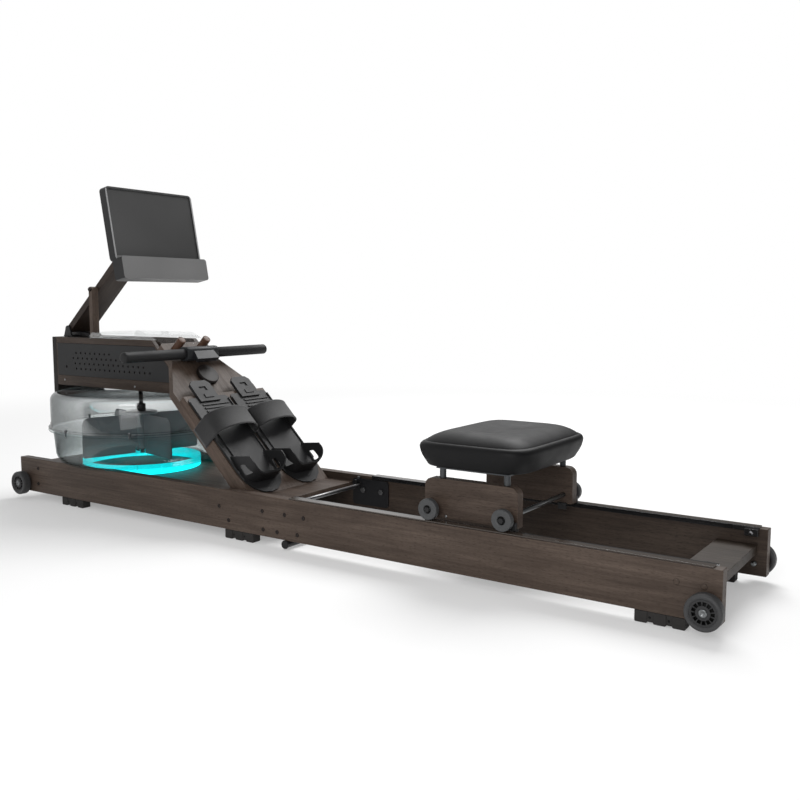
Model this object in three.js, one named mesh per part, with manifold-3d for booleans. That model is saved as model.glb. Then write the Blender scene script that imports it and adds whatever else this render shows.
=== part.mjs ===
// Water rowing machine: a water tank between two wooden rails at the front, a box frame with the strap
// drum above it, a sloping footboard, and a seat that rolls on the rails behind.
// Units are millimetres. +Z is up, +X runs from the tank to the rear end, and the rower's left is -Y.
// The origin is on the floor, halfway along the rails. Rotations are in radians, named angles in degrees.
import * as THREE from "three";
import { mergeVertices } from "three/addons/utils/BufferGeometryUtils.js";
import Module from "manifold-3d";

// Clearances that several pieces share
const restGap = 0.3; // between a piece and what carries it
const turnGap = 0.3; // between a shaft and its bore
const overrun = 6; // how far a cutter reaches past the face that it cuts

// Rails: two planks on edge
const railLength = 2060;
const railHeight = 99.8;
const railThickness = 25.5;
const railOuterHalfWidth = 182;

// Rubber feet, three under each rail
const footHeight = 22.1;
const footLength = 95;
const footEdgeRadius = 4;
const footNotchRadius = 4.6;
const footNotchHeight = 6;
const footNotchPitch = 32;
const frontFootSetback = 195;
const middleFootSetback = 852;
const rearFootSetback = 62;

// Transport wheels at the four corners, with their bolts
const wheelRadius = 34;
const wheelThickness = 24;
const wheelAxleHeight = 48;
const wheelSetback = 25;
const wheelSideGap = 6;
const wheelTreadRound = 4;
const wheelHubRadius = 25;
const wheelHubRecess = 3;
const wheelCollarRadius = 9;
const wheelBoltRadius = 5;
const wheelBoltTail = 6;
const wheelBoltHeadRadius = 7;

// Tracks that the seat rolls on, each with its end stop
const trackWidth = 25;
const trackHeight = 2.7;
const trackFrontSetback = 1060;
const trackRearSetback = 17;
const flangeThickness = 2.2;
const flangeDrop = 7;
const stopLength = 27;
const stopHeight = 14;
const stopDepth = 14;

// Steel joint plates and rod between the rails, and the tube under them
const jointPlateSetback = 1011;
const jointPlateLength = 103;
const jointPlateBottom = 44;
const jointPlateThickness = 4;
const jointPlateCorner = 8;
const jointPlateTopGap = 1;
const jointPlateNose = 12;
const jointHubRadius = 8;
const jointHubDrop = 11;
const jointHubProud = 9;
const jointBoltRadius = 6;
const jointBoltProud = 5;
const jointBoltHeight = 84.5;
const jointBoltOffset = 23;
const jointBoltPitch = 58;
const jointRodSetback = 1024;
const jointRodHeight = 97;
const jointRodRadius = 5;
const underTubeSetback = 1052;
const underTubeRadius = 9;
const underTubeCapRadius = 10.5;
const underTubeCapLength = 4;

// Boards between the rails
const baseBoardThickness = 18;
const baseBoardDrop = 19.2;
const baseBoardFrontSetback = 20;
const baseBoardRearSetback = 996;
const rearBoardBottom = 70;
const rearBoardThickness = 20;
const rearBoardLength = 82;
const rearBoardSetback = 20;

// Tank of two clear shells
const tankSetback = 333;
const tankWall = 4;
const tankFlangeRadius = 257;
const tankFlangeThickness = 6;
const lowerShellHeight = 103.5;
const lowerShellTopRadius = 244;
const lowerShellSideRadius = 239.5;
const lowerShellFlatRadius = 200;
const lowerShellRecessRadius = 176;
const lowerShellRecess = 9.5;
const upperShellHeight = 101.7;
const upperShellRadius = 250;
const upperShellShoulder = 22;
const pivotCupRadius = 18;
const pivotCupHeight = 14;
const pivotCupDepth = 10;
const bearingBossRadius = 40;
const bearingBossHeight = 6.4;

// Light ring under the tank
const lightRingRadius = 168;
const lightRingThickness = 3;
const lightRingRebate = 3;

// Impeller with its shaft, and the strap drum on top of it
const shaftRadius = 6;
const paddleRadius = 180;
const paddleHeight = 99;
const paddleFootDrop = 16;
const paddleCupGap = 4;
const paddleThickness = 5;
const paddleCorner = 22;
const paddleLift = 8;
const paddles = 4;
const paddleTurn = 76;
const impellerHubRadius = 46;
const impellerHubHeight = 8;
const couplingRadius = 13;
const couplingHeight = 22;
const drumCoreRadius = 28;
const drumFlangeRadius = 40;
const drumFlangeThickness = 2;
const drumSlotHeight = 27;
const shaftOverDrum = 6;

// Box frame over the tank
const frameHalfWidth = 83;
const frameHeight = 144;
const framePlank = 14;
const endBoardSetback = 38;
const endBoardThickness = 19;
const endBoardDrop = 31;
const deckRear = 209;
const deckThickness = 18;
const floorBoardThickness = 18;
const floorHoleRadius = 9;
const panelFrontMargin = 4;
const panelBottomMargin = 30;
const panelTopMargin = 18;
const panelRearMargin = 5;
const panelDepth = 4;

// Clear cover on the frame
const coverFront = 212;
const coverKneeSetback = 470;
const coverLipSetback = 530;
const coverRise = 18;
const coverCorner = 10;
const coverLipDrop = 10.6;
const coverWall = 2;

// Sloping footboard
const slopeAngle = 45;
const footboardSetback = 887;
const footboardThickness = 19.8;
const footboardHalfWidth = 150;
const footboardNeckHalfWidth = 85;
const footboardKnee = 348;
const footboardNeck = 454;
const footboardTopBelowFrame = 8;
const footboardTopCorner = 10;
const riserThickness = 19.8;
const riserLength = 315;
const strapSlotHalfWidth = 18;
const strapSlotHeight = 8;

// Handle, its pegs, the round disc and the strap
const handleAboveFrameBottom = 108;
const handleHalfLength = 262;
const handleRadius = 14.5;
const handleEndRadius = 6;
const handleStandOff = 24.7;
const clampHalfWidth = 57;
const clampRadius = 20;
const clampPadHalfWidth = 34;
const clampPadHeight = 26;
const strapHolderTopHalfWidth = 33;
const strapHolderBottomHalfWidth = 42;
const strapHolderHeight = 36;
const strapHolderReach = 19;
const pegRadius = 11.5;
const pegLength = 41;
const pegChamfer = 2;
const pegHalfSpacing = 46;
const pegAboveHandle = 38.9;
const discRadius = 32;
const discThickness = 12.4;
const discBelowHandle = 62.9;
const discEdge = 2;
const strapWidth = 24;
const strapThickness = 1.8;
const strapSteps = 16;
const strapTwistShare = 0.66;

// Footplates, heel sliders and foot straps
const footplateWidth = 140;
const footplateGap = 12;
const footplateThickness = 3.5;
const footplateTop = 304;
const footplateLift = 1.2;
const footplateCorner = 12;
const footplateLipWidth = 3;
const footplateLipHeight = 3.4;
const footplateLipBottom = 52;
const toeTabHalfWidth = 35;
const toeTabLength = 53;
const toeTabThickness = 8;
const toeTabFoot = 17;
const toeTabCut = 11;
// A sunk window in each toe tab and a raised bar below it, both measured down from the tab's end
const toeWindowHalfWidth = 12;
const toeWindowTop = 21;
const toeWindowLength = 14;
const toeWindowDepth = 3;
const toeBarMiddle = 4;
const toeBarHalfWidth = 15;
const toeBarTop = 47;
const toeBarLength = 12;
const toeBarHeight = 2;
const ribCount = 5;
const ribPitch = 11;
const ribWidth = 5;
const ribHeight = 2.4;
const ribLeft = 33;
const ribRight = 60;
const ribTopGap = 7;
const sliderBottom = 17;
const sliderTop = 184;
const sliderStep = 104;
const sliderHalfWidth = 60;
const sliderWaistHalfWidth = 50;
const sliderThickness = 3;
const sliderCorner = 34;
const cupHeight = 50;
const cupWall = 3.5;
const cupFoot = 105;
const cupShoulder = 64;
const cupHeelDip = 19;
const cupHeelSteps = 10;
// Corners of the window in each side of the heel cup, as shares of the cup's length and height
const cupWindowShares = [
  [0.26, 0.06],
  [0.6, 0.14],
  [0.5, 0.42],
  [0.16, 0.5],
];
const footStrapBottom = 167;
const footStrapWidth = 62;
const footStrapThickness = 3;
const footStrapShoulder = 16;
const footStrapArch = 36;
const footStrapDrop = 36;
const footStrapSideGap = 0.4;

// Tablet arm, its bracket and strut
const bracketSetback = 61;
const bracketLength = 38;
const bracketFoot = 4;
const bracketEar = 5;
const bracketEarRadius = 11;
const armPivotHeight = 22;
const armAngle = 40.8;
const armWidth = 80;
const armThickness = 20;
const armLength = 401;
const pinRadius = 5;
const strutDistance = 182;
const strutDepth = 16;
const strutWidth = 21.7;
const strutPinRadius = 4;
const strutPinLength = 16;

// Tablet holder
const holderTilt = 10.7;
const holderStandOff = 32;
const holderBelowPivot = 62;
const holderHalfWidth = 154;
const holderHeight = 186;
const holderThickness = 25;
const holderCorner = 12;
const holderRim = 5;
const holderPocket = 2.5;
const holderEar = 7;
const holderEarRadius = 13;
const ledgeHalfWidth = 153;
const ledgeTop = 9;
const ledgeHeight = 62;
const ledgeFront = 23;
const ledgeBack = 17;
const ledgeCorner = 8;
const tabletSlotWidth = 16;
const tabletSlotDepth = 24;

// Seat: rollers, axles, side plates, brackets and cushion
const seatFrontAxleSetback = 1446;
const seatWheelbase = 176;
const rollerRadius = 23;
const rollerThickness = 14;
const rollerEdge = 2.5;
const rollerInset = 1;
const rollerHubRadius = 9;
const rollerHubRecess = 2;
const axleRadius = 5;
const axleHeadRadius = 8;
const axleHeadThickness = 4;
const seatPlateThickness = 24;
const seatPlateGap = 16;
const seatPlateLift = 2.8;
const seatPlateHeight = 84;
const seatPlateFront = 24;
const seatPlateRear = 22;
const seatPlateCorner = 18;
const postRadius = 7;
const frontPostOffset = 14;
const rearPostOffset = 8;
const postLength = 21.4;
const bracketStripThickness = 3;
const bracketStripOverhang = 10;
const cushionLength = 265;
const cushionWidth = 336;
const cushionHeight = 74;
const cushionOffset = 1.5;
const cushionRounding = 7;
// Each ring of the cushion: how far it is drawn in, as a share of half the cushion's length, and its
// height as a share of the cushion's height, from the underside over the rolled edge into the dish.
const cushionRingShares = [
  [0.13, 0],
  [0.08, 0.04],
  [0.03, 0.27],
  [0, 0.55],
  [0.012, 0.65],
  [0.05, 0.735],
  [0.12, 0.82],
  [0.22, 0.915],
  [0.35, 0.985],
  [0.5, 1],
  [0.72, 0.94],
];
const cushionDishShare = 0.9;

// Facets of round shapes
const coarseSides = 12;
const middleSides = 20;
const fineSides = 44;
const arcSides = 4;

const wasm = await Module();
wasm.setup();

// Materials
const finish = (color, roughness, metalness = 0) =>
  new THREE.MeshStandardMaterial({ color, roughness, metalness });
const walnut = finish(0x4a3a31, 0.5);
const blackPlastic = finish(0x2c2c2d, 0.55);
const greyPlastic = finish(0x5b5b5d, 0.5);
const clearPlastic = finish(0xdfe4e6, 0.1);
const lightPlastic = finish(0x16dff0, 0.4);
const blackSteel = finish(0x202122, 0.4, 0.6);
const steel = finish(0x9a9b9c, 0.3, 1);
const rubber = finish(0x2e2e2e, 0.8);
const leather = finish(0x1f1f20, 0.5);
const webbing = finish(0x262627, 0.8);

// Solids: a closed geometry becomes a manifold solid for joins and cuts, and comes back as a geometry.
function solidOf(geometry) {
  const bare = geometry.clone();
  bare.deleteAttribute("normal");
  bare.deleteAttribute("uv");
  const merged = mergeVertices(bare, 1e-4);
  return new wasm.Manifold(
    new wasm.Mesh({
      numProp: 3,
      vertProperties: merged.attributes.position.array,
      triVerts: new Uint32Array(merged.index.array),
    }),
  );
}

function geometryOf(solid) {
  const mesh = solid.getMesh();
  const geometry = new THREE.BufferGeometry();
  geometry.setAttribute("position", new THREE.BufferAttribute(mesh.vertProperties, mesh.numProp));
  geometry.setIndex(new THREE.BufferAttribute(mesh.triVerts, 1));
  geometry.computeVertexNormals();
  return geometry;
}

const join = (...pieces) => geometryOf(pieces.map(solidOf).reduce((a, b) => a.add(b)));
const cut = (piece, ...cutters) =>
  geometryOf(cutters.map(solidOf).reduce((a, b) => a.subtract(b), solidOf(piece)));

// Basic forms
function block([x0, x1], [y0, y1], [z0, z1]) {
  const geometry = new THREE.BoxGeometry(x1 - x0, y1 - y0, z1 - z0);
  return geometry.translate((x0 + x1) / 2, (y0 + y1) / 2, (z0 + z1) / 2);
}

function outline(points) {
  return new THREE.Shape(points.map(([a, b]) => new THREE.Vector2(a, b)));
}

function roundedOutline([a0, a1], [b0, b1], radius) {
  const shape = new THREE.Shape();
  shape.absarc(a1 - radius, b0 + radius, radius, -Math.PI / 2, 0);
  shape.absarc(a1 - radius, b1 - radius, radius, 0, Math.PI / 2);
  shape.absarc(a0 + radius, b1 - radius, radius, Math.PI / 2, Math.PI);
  shape.absarc(a0 + radius, b0 + radius, radius, Math.PI, Math.PI * 1.5);
  return shape;
}

// A round hole in an outline, with its flats at the radius, so that a round pin of that radius clears it
function holeAt(x, y, radius) {
  const corner = radius / Math.cos(Math.PI / coarseSides);
  const hole = new THREE.Path();
  hole.setFromPoints(
    Array.from({ length: coarseSides }, (_, i) => {
      const angle = (-i * Math.PI * 2) / coarseSides;
      return new THREE.Vector2(x + corner * Math.cos(angle), y + corner * Math.sin(angle));
    }),
  );
  hole.closePath();
  return hole;
}

function extrude(shape, depth) {
  return new THREE.ExtrudeGeometry(shape, { depth, bevelEnabled: false, curveSegments: arcSides });
}

// An outline in X and Y, thick along Z
const thickZ = (shape, z0, z1) => extrude(shape, z1 - z0).translate(0, 0, z0);
// An outline in X and Z, thick along Y
const thickY = (shape, y0, y1) => extrude(shape, y1 - y0).rotateX(Math.PI / 2).translate(0, y1, 0);
// An outline in Y and Z, thick along X
const thickX = (shape, x0, x1) =>
  extrude(shape, x1 - x0)
    .applyMatrix4(
      new THREE.Matrix4().makeBasis(
        new THREE.Vector3(0, 1, 0),
        new THREE.Vector3(0, 0, 1),
        new THREE.Vector3(1, 0, 0),
      ),
    )
    .translate(x0, 0, 0);

// A profile of [radius, z] points turned about Z
function turned(profile, sides) {
  const area = profile.reduce((sum, [r, z], i) => {
    const [nextR, nextZ] = profile[(i + 1) % profile.length];
    return sum + r * nextZ - nextR * z;
  }, 0);
  const ordered = area > 0 ? profile : [...profile].reverse();
  const onAxis = ordered[0][0] === 0;
  const points = (onAxis ? ordered : [...ordered, ordered[0]]).map(([r, z]) => new THREE.Vector2(r, z));
  return new THREE.LatheGeometry(points, sides).rotateX(Math.PI / 2);
}

// Points of an arc for a turned profile, from one angle to another in degrees
function arc(centreR, centreZ, radius, from, to) {
  return Array.from({ length: arcSides + 1 }, (_, i) => {
    const angle = THREE.MathUtils.degToRad(from + ((to - from) * i) / arcSides);
    return [centreR + radius * Math.cos(angle), centreZ + radius * Math.sin(angle)];
  });
}

function rod(radius, length, sides = coarseSides) {
  return new THREE.CylinderGeometry(radius, radius, length, sides);
}

// A rod along Z, X or Y through a point
const rodZ = (radius, [z0, z1], x, y, sides) =>
  rod(radius, z1 - z0, sides).rotateX(Math.PI / 2).translate(x, y, (z0 + z1) / 2);
const rodY = (radius, [y0, y1], x, z, sides) =>
  rod(radius, y1 - y0, sides).translate(x, (y0 + y1) / 2, z);

const machine = new THREE.Group();
function place(parent, name, geometry, material) {
  const mesh = new THREE.Mesh(geometry, material.clone());
  mesh.name = name;
  parent.add(mesh);
  return mesh;
}

const sides = [
  ["left", -1],
  ["right", 1],
];
const ordered = (a, b) => [Math.min(a, b), Math.max(a, b)];
const fromFront = (distance) => distance - railLength / 2;
const fromRear = (distance) => railLength / 2 - distance;

// Levels and faces that the pieces share
const railBottom = footHeight + restGap;
const railTop = railBottom + railHeight;
const railInner = railOuterHalfWidth - railThickness;
const betweenRails = railInner - restGap;
const baseTop = railTop - baseBoardDrop;
const baseBottom = baseTop - baseBoardThickness;
const tankX = fromFront(tankSetback);
const tankBottom = railTop + restGap;
const recessTop = tankBottom + lowerShellRecess;
const flangeTop = tankBottom + lowerShellHeight;
const upperBottom = flangeTop + restGap;
const tankTop = upperBottom + upperShellHeight;
const bossTop = tankTop + bearingBossHeight;
const frameBottom = bossTop + restGap;
const frameTop = frameBottom + frameHeight;
const trackBottom = railTop + restGap;
const trackTop = trackBottom + trackHeight;
const flangeBottom = railTop - flangeDrop;

// Rails, with holes for the wheel bolts and a round rebate for the light ring
for (const [side, sign] of sides) {
  const face = outline([
    [fromFront(0), railBottom],
    [fromRear(0), railBottom],
    [fromRear(0), railTop],
    [fromFront(0), railTop],
  ]);
  for (const x of [fromFront(wheelSetback), fromRear(wheelSetback)])
    face.holes.push(holeAt(x, wheelAxleHeight, wheelBoltRadius + turnGap));
  const plank = thickY(face, ...ordered(sign * railInner, sign * railOuterHalfWidth));
  const rebate = rodZ(
    lightRingRadius + lightRingRebate,
    [baseTop - restGap, railTop + overrun],
    tankX,
    0,
    fineSides,
  );
  place(machine, `rail_${side}`, cut(plank, rebate), walnut);
}

// Feet: a block with two notches that leave three lobes
function footOutline(x) {
  const shape = new THREE.Shape();
  const start = x - footLength / 2;
  const end = x + footLength / 2;
  shape.moveTo(start + footEdgeRadius, 0);
  for (const notchX of [x - footNotchPitch / 2, x + footNotchPitch / 2]) {
    shape.lineTo(notchX - footNotchRadius, 0);
    shape.absarc(notchX, footNotchHeight, footNotchRadius, Math.PI, 0, true);
    shape.lineTo(notchX + footNotchRadius, 0);
  }
  shape.lineTo(end - footEdgeRadius, 0);
  shape.absarc(end - footEdgeRadius, footEdgeRadius, footEdgeRadius, -Math.PI / 2, 0);
  shape.lineTo(end, footHeight);
  shape.lineTo(start, footHeight);
  shape.absarc(start + footEdgeRadius, footEdgeRadius, footEdgeRadius, Math.PI, Math.PI * 1.5);
  return shape;
}

const feet = [
  ["front", fromFront(frontFootSetback) + footLength / 2],
  ["middle", fromFront(middleFootSetback) + footLength / 2],
  ["rear", fromRear(rearFootSetback) - footLength / 2],
];
for (const [where, x] of feet)
  for (const [side, sign] of sides) {
    const span = ordered(sign * railInner, sign * railOuterHalfWidth);
    place(machine, `foot_${where}_${side}`, thickY(footOutline(x), ...span), rubber);
  }

// Transport wheels: tyre, hub and bolt in one profile, turned about the bolt
function wheelBody() {
  const inner = wheelSideGap;
  const outer = wheelSideGap + wheelThickness;
  const hubFace = outer - wheelHubRecess;
  return turned(
    [
      [0, -railThickness - wheelBoltTail],
      [wheelBoltRadius, -railThickness - wheelBoltTail],
      [wheelBoltRadius, restGap],
      [wheelCollarRadius, restGap],
      [wheelCollarRadius, inner],
      [wheelRadius - wheelTreadRound, inner],
      [wheelRadius, inner + wheelTreadRound],
      [wheelRadius, outer - wheelTreadRound],
      [wheelRadius - wheelTreadRound, outer],
      [wheelHubRadius, outer],
      [wheelHubRadius, hubFace],
      [wheelBoltHeadRadius, hubFace],
      [wheelBoltHeadRadius, outer],
      [0, outer],
    ],
    middleSides,
  );
}

const wheelEnds = [
  ["front", fromFront(wheelSetback)],
  ["rear", fromRear(wheelSetback)],
];
const wheel = wheelBody();
for (const [end, x] of wheelEnds)
  for (const [side, sign] of sides) {
    const mesh = place(machine, `wheel_${end}_${side}`, wheel, rubber);
    mesh.rotation.x = (-sign * Math.PI) / 2;
    mesh.position.set(x, sign * railOuterHalfWidth, wheelAxleHeight);
  }

// Tracks: an angle strip over the rail's inner top edge, with the seat's end stop at the rear
const trackOuter = betweenRails - flangeThickness + trackWidth;
for (const [side, sign] of sides) {
  const span = [fromFront(trackFrontSetback), fromRear(trackRearSetback)];
  const flangeInner = betweenRails - flangeThickness;
  const strip = block(span, ordered(sign * flangeInner, sign * trackOuter), [trackBottom, trackTop]);
  const flange = block(span, ordered(sign * flangeInner, sign * betweenRails), [flangeBottom, trackTop]);
  const stop = block(
    [span[1] - stopLength, span[1]],
    ordered(sign * betweenRails, sign * (betweenRails - stopDepth)),
    [railTop - stopHeight, railTop],
  );
  place(machine, `track_${side}`, join(strip, flange, stop), blackPlastic);
}

// Joint plates, the rod between them and the tube under the rails
const jointPlateTop = flangeBottom - jointPlateTopGap;
const jointFront = fromFront(jointPlateSetback);
const jointInner = betweenRails - jointPlateThickness;
for (const [side, sign] of sides) {
  const span = ordered(sign * jointInner, sign * betweenRails);
  const plate = thickY(
    roundedOutline(
      [jointFront - jointPlateNose, jointFront + jointPlateLength],
      [jointPlateBottom, jointPlateTop],
      jointPlateCorner,
    ),
    ...span,
  );
  const hub = rodY(
    jointHubRadius,
    ordered(sign * betweenRails, sign * (jointInner - jointHubProud)),
    jointFront,
    jointPlateTop - jointHubDrop,
  );
  const bolts = [0, 1].map((i) =>
    rodY(
      jointBoltRadius,
      ordered(sign * betweenRails, sign * (jointInner - jointBoltProud)),
      jointFront + jointBoltOffset + i * jointBoltPitch,
      jointBoltHeight,
    ),
  );
  place(machine, `joint_plate_${side}`, join(plate, hub, ...bolts), blackSteel);
}
place(
  machine,
  "joint_rod",
  rodY(
    jointRodRadius,
    [restGap - jointInner, jointInner - restGap],
    fromFront(jointRodSetback),
    jointRodHeight,
  ),
  steel,
);

const tubeZ = railBottom - restGap - underTubeRadius;
const tubeEnd = railOuterHalfWidth + restGap;
place(
  machine,
  "under_tube",
  join(
    rodY(
      underTubeRadius,
      [-tubeEnd - underTubeCapLength, tubeEnd + underTubeCapLength],
      fromFront(underTubeSetback),
      tubeZ,
    ),
    ...sides.map(([, sign]) =>
      rodY(
        underTubeCapRadius,
        ordered(sign * tubeEnd, sign * (tubeEnd + underTubeCapLength)),
        fromFront(underTubeSetback),
        tubeZ,
      ),
    ),
  ),
  blackSteel,
);

// Boards between the rails
place(
  machine,
  "base_board",
  block(
    [fromFront(baseBoardFrontSetback), fromFront(baseBoardRearSetback)],
    [-betweenRails, betweenRails],
    [baseBottom, baseTop],
  ),
  walnut,
);
place(
  machine,
  "rear_board",
  block(
    [fromRear(rearBoardSetback + rearBoardLength), fromRear(rearBoardSetback)],
    [-betweenRails, betweenRails],
    [rearBoardBottom, rearBoardBottom + rearBoardThickness],
  ),
  walnut,
);

// Tank: the lower shell stands on the rails, and the upper one is clamped to it at the flange
const fillet = lowerShellSideRadius - lowerShellFlatRadius;
const cupFloor = recessTop + tankWall;
const cupTop = cupFloor + pivotCupHeight;
const socketBottom = cupTop - pivotCupDepth;
const shaftBore = shaftRadius + turnGap;
const lowerShell = turned(
  [
    [0, recessTop],
    [lowerShellRecessRadius, recessTop],
    [lowerShellRecessRadius, tankBottom],
    ...arc(lowerShellFlatRadius, tankBottom + fillet, fillet, -90, 0),
    [lowerShellTopRadius, flangeTop - tankFlangeThickness],
    [tankFlangeRadius, flangeTop - tankFlangeThickness],
    [tankFlangeRadius, flangeTop],
    [lowerShellTopRadius - tankWall, flangeTop],
    ...arc(lowerShellFlatRadius, tankBottom + fillet, fillet - tankWall, 0, -90),
    [lowerShellRecessRadius + tankWall, tankBottom + tankWall],
    [lowerShellRecessRadius + tankWall, cupFloor],
    [pivotCupRadius, cupFloor],
    [pivotCupRadius, cupTop],
    [shaftBore, cupTop],
    [shaftBore, socketBottom],
    [0, socketBottom],
  ],
  fineSides,
).translate(tankX, 0, 0);
place(machine, "tank_lower", lowerShell, clearPlastic);

const shoulderZ = tankTop - upperShellShoulder;
const upperShell = turned(
  [
    [upperShellRadius - tankWall, upperBottom],
    [tankFlangeRadius, upperBottom],
    [tankFlangeRadius, upperBottom + tankFlangeThickness],
    [upperShellRadius, upperBottom + tankFlangeThickness],
    ...arc(upperShellRadius - upperShellShoulder, shoulderZ, upperShellShoulder, 0, 90),
    [bearingBossRadius, tankTop],
    [bearingBossRadius, bossTop],
    [shaftBore, bossTop],
    [shaftBore, tankTop - tankWall],
    ...arc(upperShellRadius - upperShellShoulder, shoulderZ, upperShellShoulder - tankWall, 90, 0),
  ],
  fineSides,
).translate(tankX, 0, 0);
place(machine, "tank_upper", upperShell, clearPlastic);

const lightRing = turned(
  [
    [lightRingRadius - lightRingThickness, baseTop + restGap],
    [lightRingRadius, baseTop + restGap],
    [lightRingRadius, recessTop - restGap],
    [lightRingRadius - lightRingThickness, recessTop - restGap],
  ],
  fineSides,
).translate(tankX, 0, 0);
place(machine, "light_ring", lightRing, lightPlastic);

// Impeller: paddles on the shaft under a hub plate and a coupling, in the pivot cup at its foot
const strapZ = frameBottom + handleAboveFrameBottom;
const drumHalfHeight = drumSlotHeight / 2 + drumFlangeThickness;
const paddleBottom = cupTop + paddleLift;
const paddleTop = paddleBottom + paddleHeight;
const hubTop = paddleTop + impellerHubHeight;
const shaft = turned(
  [
    [0, socketBottom + restGap],
    [shaftRadius, socketBottom + restGap],
    [shaftRadius, cupTop + restGap],
    [pivotCupRadius, cupTop + restGap],
    [pivotCupRadius, paddleTop],
    [impellerHubRadius, paddleTop],
    [impellerHubRadius, hubTop],
    [couplingRadius, hubTop],
    [couplingRadius, hubTop + couplingHeight],
    [shaftRadius, hubTop + couplingHeight],
    [shaftRadius, strapZ - drumHalfHeight - restGap - drumFlangeThickness],
    [floorHoleRadius - restGap, strapZ - drumHalfHeight - restGap - drumFlangeThickness],
    [floorHoleRadius - restGap, strapZ - drumHalfHeight - restGap],
    [shaftRadius, strapZ - drumHalfHeight - restGap],
    [shaftRadius, strapZ + drumHalfHeight + shaftOverDrum],
    [0, strapZ + drumHalfHeight + shaftOverDrum],
  ],
  coarseSides,
);
const paddle = (turn) =>
  thickY(
    (() => {
      const shape = new THREE.Shape();
      shape.moveTo(0, paddleBottom);
      shape.lineTo(pivotCupRadius + paddleCupGap, paddleBottom);
      shape.lineTo(pivotCupRadius + paddleCupGap, paddleBottom - paddleFootDrop);
      shape.lineTo(paddleRadius, paddleBottom - paddleFootDrop);
      shape.absarc(paddleRadius - paddleCorner, paddleTop - paddleCorner, paddleCorner, 0, Math.PI / 2);
      shape.lineTo(0, paddleTop);
      return shape;
    })(),
    -paddleThickness / 2,
    paddleThickness / 2,
  ).rotateZ(turn);
const paddleRing = Array.from({ length: paddles }, (_, i) =>
  paddle(THREE.MathUtils.degToRad(paddleTurn) + (i * Math.PI * 2) / paddles),
);
place(machine, "impeller", join(shaft, ...paddleRing).translate(tankX, 0, 0), greyPlastic);

const drum = turned(
  [
    [shaftBore, strapZ - drumHalfHeight],
    [drumFlangeRadius, strapZ - drumHalfHeight],
    [drumFlangeRadius, strapZ - drumSlotHeight / 2],
    [drumCoreRadius, strapZ - drumSlotHeight / 2],
    [drumCoreRadius, strapZ + drumSlotHeight / 2],
    [drumFlangeRadius, strapZ + drumSlotHeight / 2],
    [drumFlangeRadius, strapZ + drumHalfHeight],
    [shaftBore, strapZ + drumHalfHeight],
  ],
  middleSides,
).translate(tankX, 0, 0);
place(machine, "strap_drum", drum, blackPlastic);

// The slope: x is across, y up the slope and z outwards, from where its face meets the base board
const slopeTurn = THREE.MathUtils.degToRad(slopeAngle);
const slopeSin = Math.sin(slopeTurn);
const slopeCos = Math.cos(slopeTurn);
const slopeX = fromFront(footboardSetback);
const slopeBasis = new THREE.Matrix4().makeBasis(
  new THREE.Vector3(0, 1, 0),
  new THREE.Vector3(-slopeCos, 0, slopeSin),
  new THREE.Vector3(slopeSin, 0, slopeCos),
);
const slope = new THREE.Group();
slope.quaternion.setFromRotationMatrix(slopeBasis);
slope.position.set(slopeX, 0, baseTop);
machine.add(slope);
const slopeToLevel = slopeBasis.clone().setPosition(slopeX, 0, baseTop).invert();
// The X at which a plane at a given height over the slope's face passes a level
const slopeXAt = (z, outwards) => slopeX + (outwards - (z - baseTop) * slopeCos) / slopeSin;
// How far up the slope a point lies that is at a level and at a height over the face
const upSlopeAt = (z, outwards) => (z - baseTop - outwards * slopeCos) / slopeSin;

// Box frame: two side planks with black panels let in, an end board with its deck, and a floor board
const frameFront = fromFront(endBoardSetback);
const sideFront = frameFront + endBoardThickness + restGap;
const frameBack = -footboardThickness - restGap;
function frameOutline(front, rear, bottom, top) {
  return outline([
    [sideFront + front, frameBottom + bottom],
    [slopeXAt(frameBottom + bottom, frameBack - rear), frameBottom + bottom],
    [slopeXAt(frameTop - top, frameBack - rear), frameTop - top],
    [sideFront + front, frameTop - top],
  ]);
}

const frameInner = frameHalfWidth - framePlank;
for (const [side, sign] of sides) {
  const plank = thickY(frameOutline(0, 0, 0, 0), ...ordered(sign * frameInner, sign * frameHalfWidth));
  const pocketFloor = frameHalfWidth - panelDepth;
  const margins = [panelFrontMargin, panelRearMargin, panelBottomMargin, panelTopMargin];
  const pocket = thickY(
    frameOutline(...margins),
    ...ordered(sign * pocketFloor, sign * (frameHalfWidth + overrun)),
  );
  place(machine, `frame_side_${side}`, cut(plank, pocket), walnut);
  const panel = thickY(
    frameOutline(...margins.map((margin) => margin + restGap)),
    ...ordered(sign * (pocketFloor + restGap), sign * frameHalfWidth),
  );
  place(machine, `frame_panel_${side}`, panel, blackPlastic);
}
const betweenSides = frameInner - restGap;
const endBoard = block(
  [frameFront, frameFront + endBoardThickness],
  [-frameHalfWidth, frameHalfWidth],
  [frameBottom - endBoardDrop, frameTop],
);
const deck = block(
  [frameFront, fromFront(deckRear)],
  [-betweenSides, betweenSides],
  [frameTop - deckThickness, frameTop],
);
place(machine, "frame_end", join(endBoard, deck), walnut);

const floorTop = frameBottom + floorBoardThickness;
const floorBoard = block(
  [sideFront, slopeXAt(floorTop, frameBack)],
  [-betweenSides, betweenSides],
  [frameBottom, floorTop],
);
const floorHole = rodZ(floorHoleRadius, [frameBottom - overrun, floorTop + overrun], tankX, 0);
place(machine, "frame_floor", cut(floorBoard, floorHole), walnut);

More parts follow.
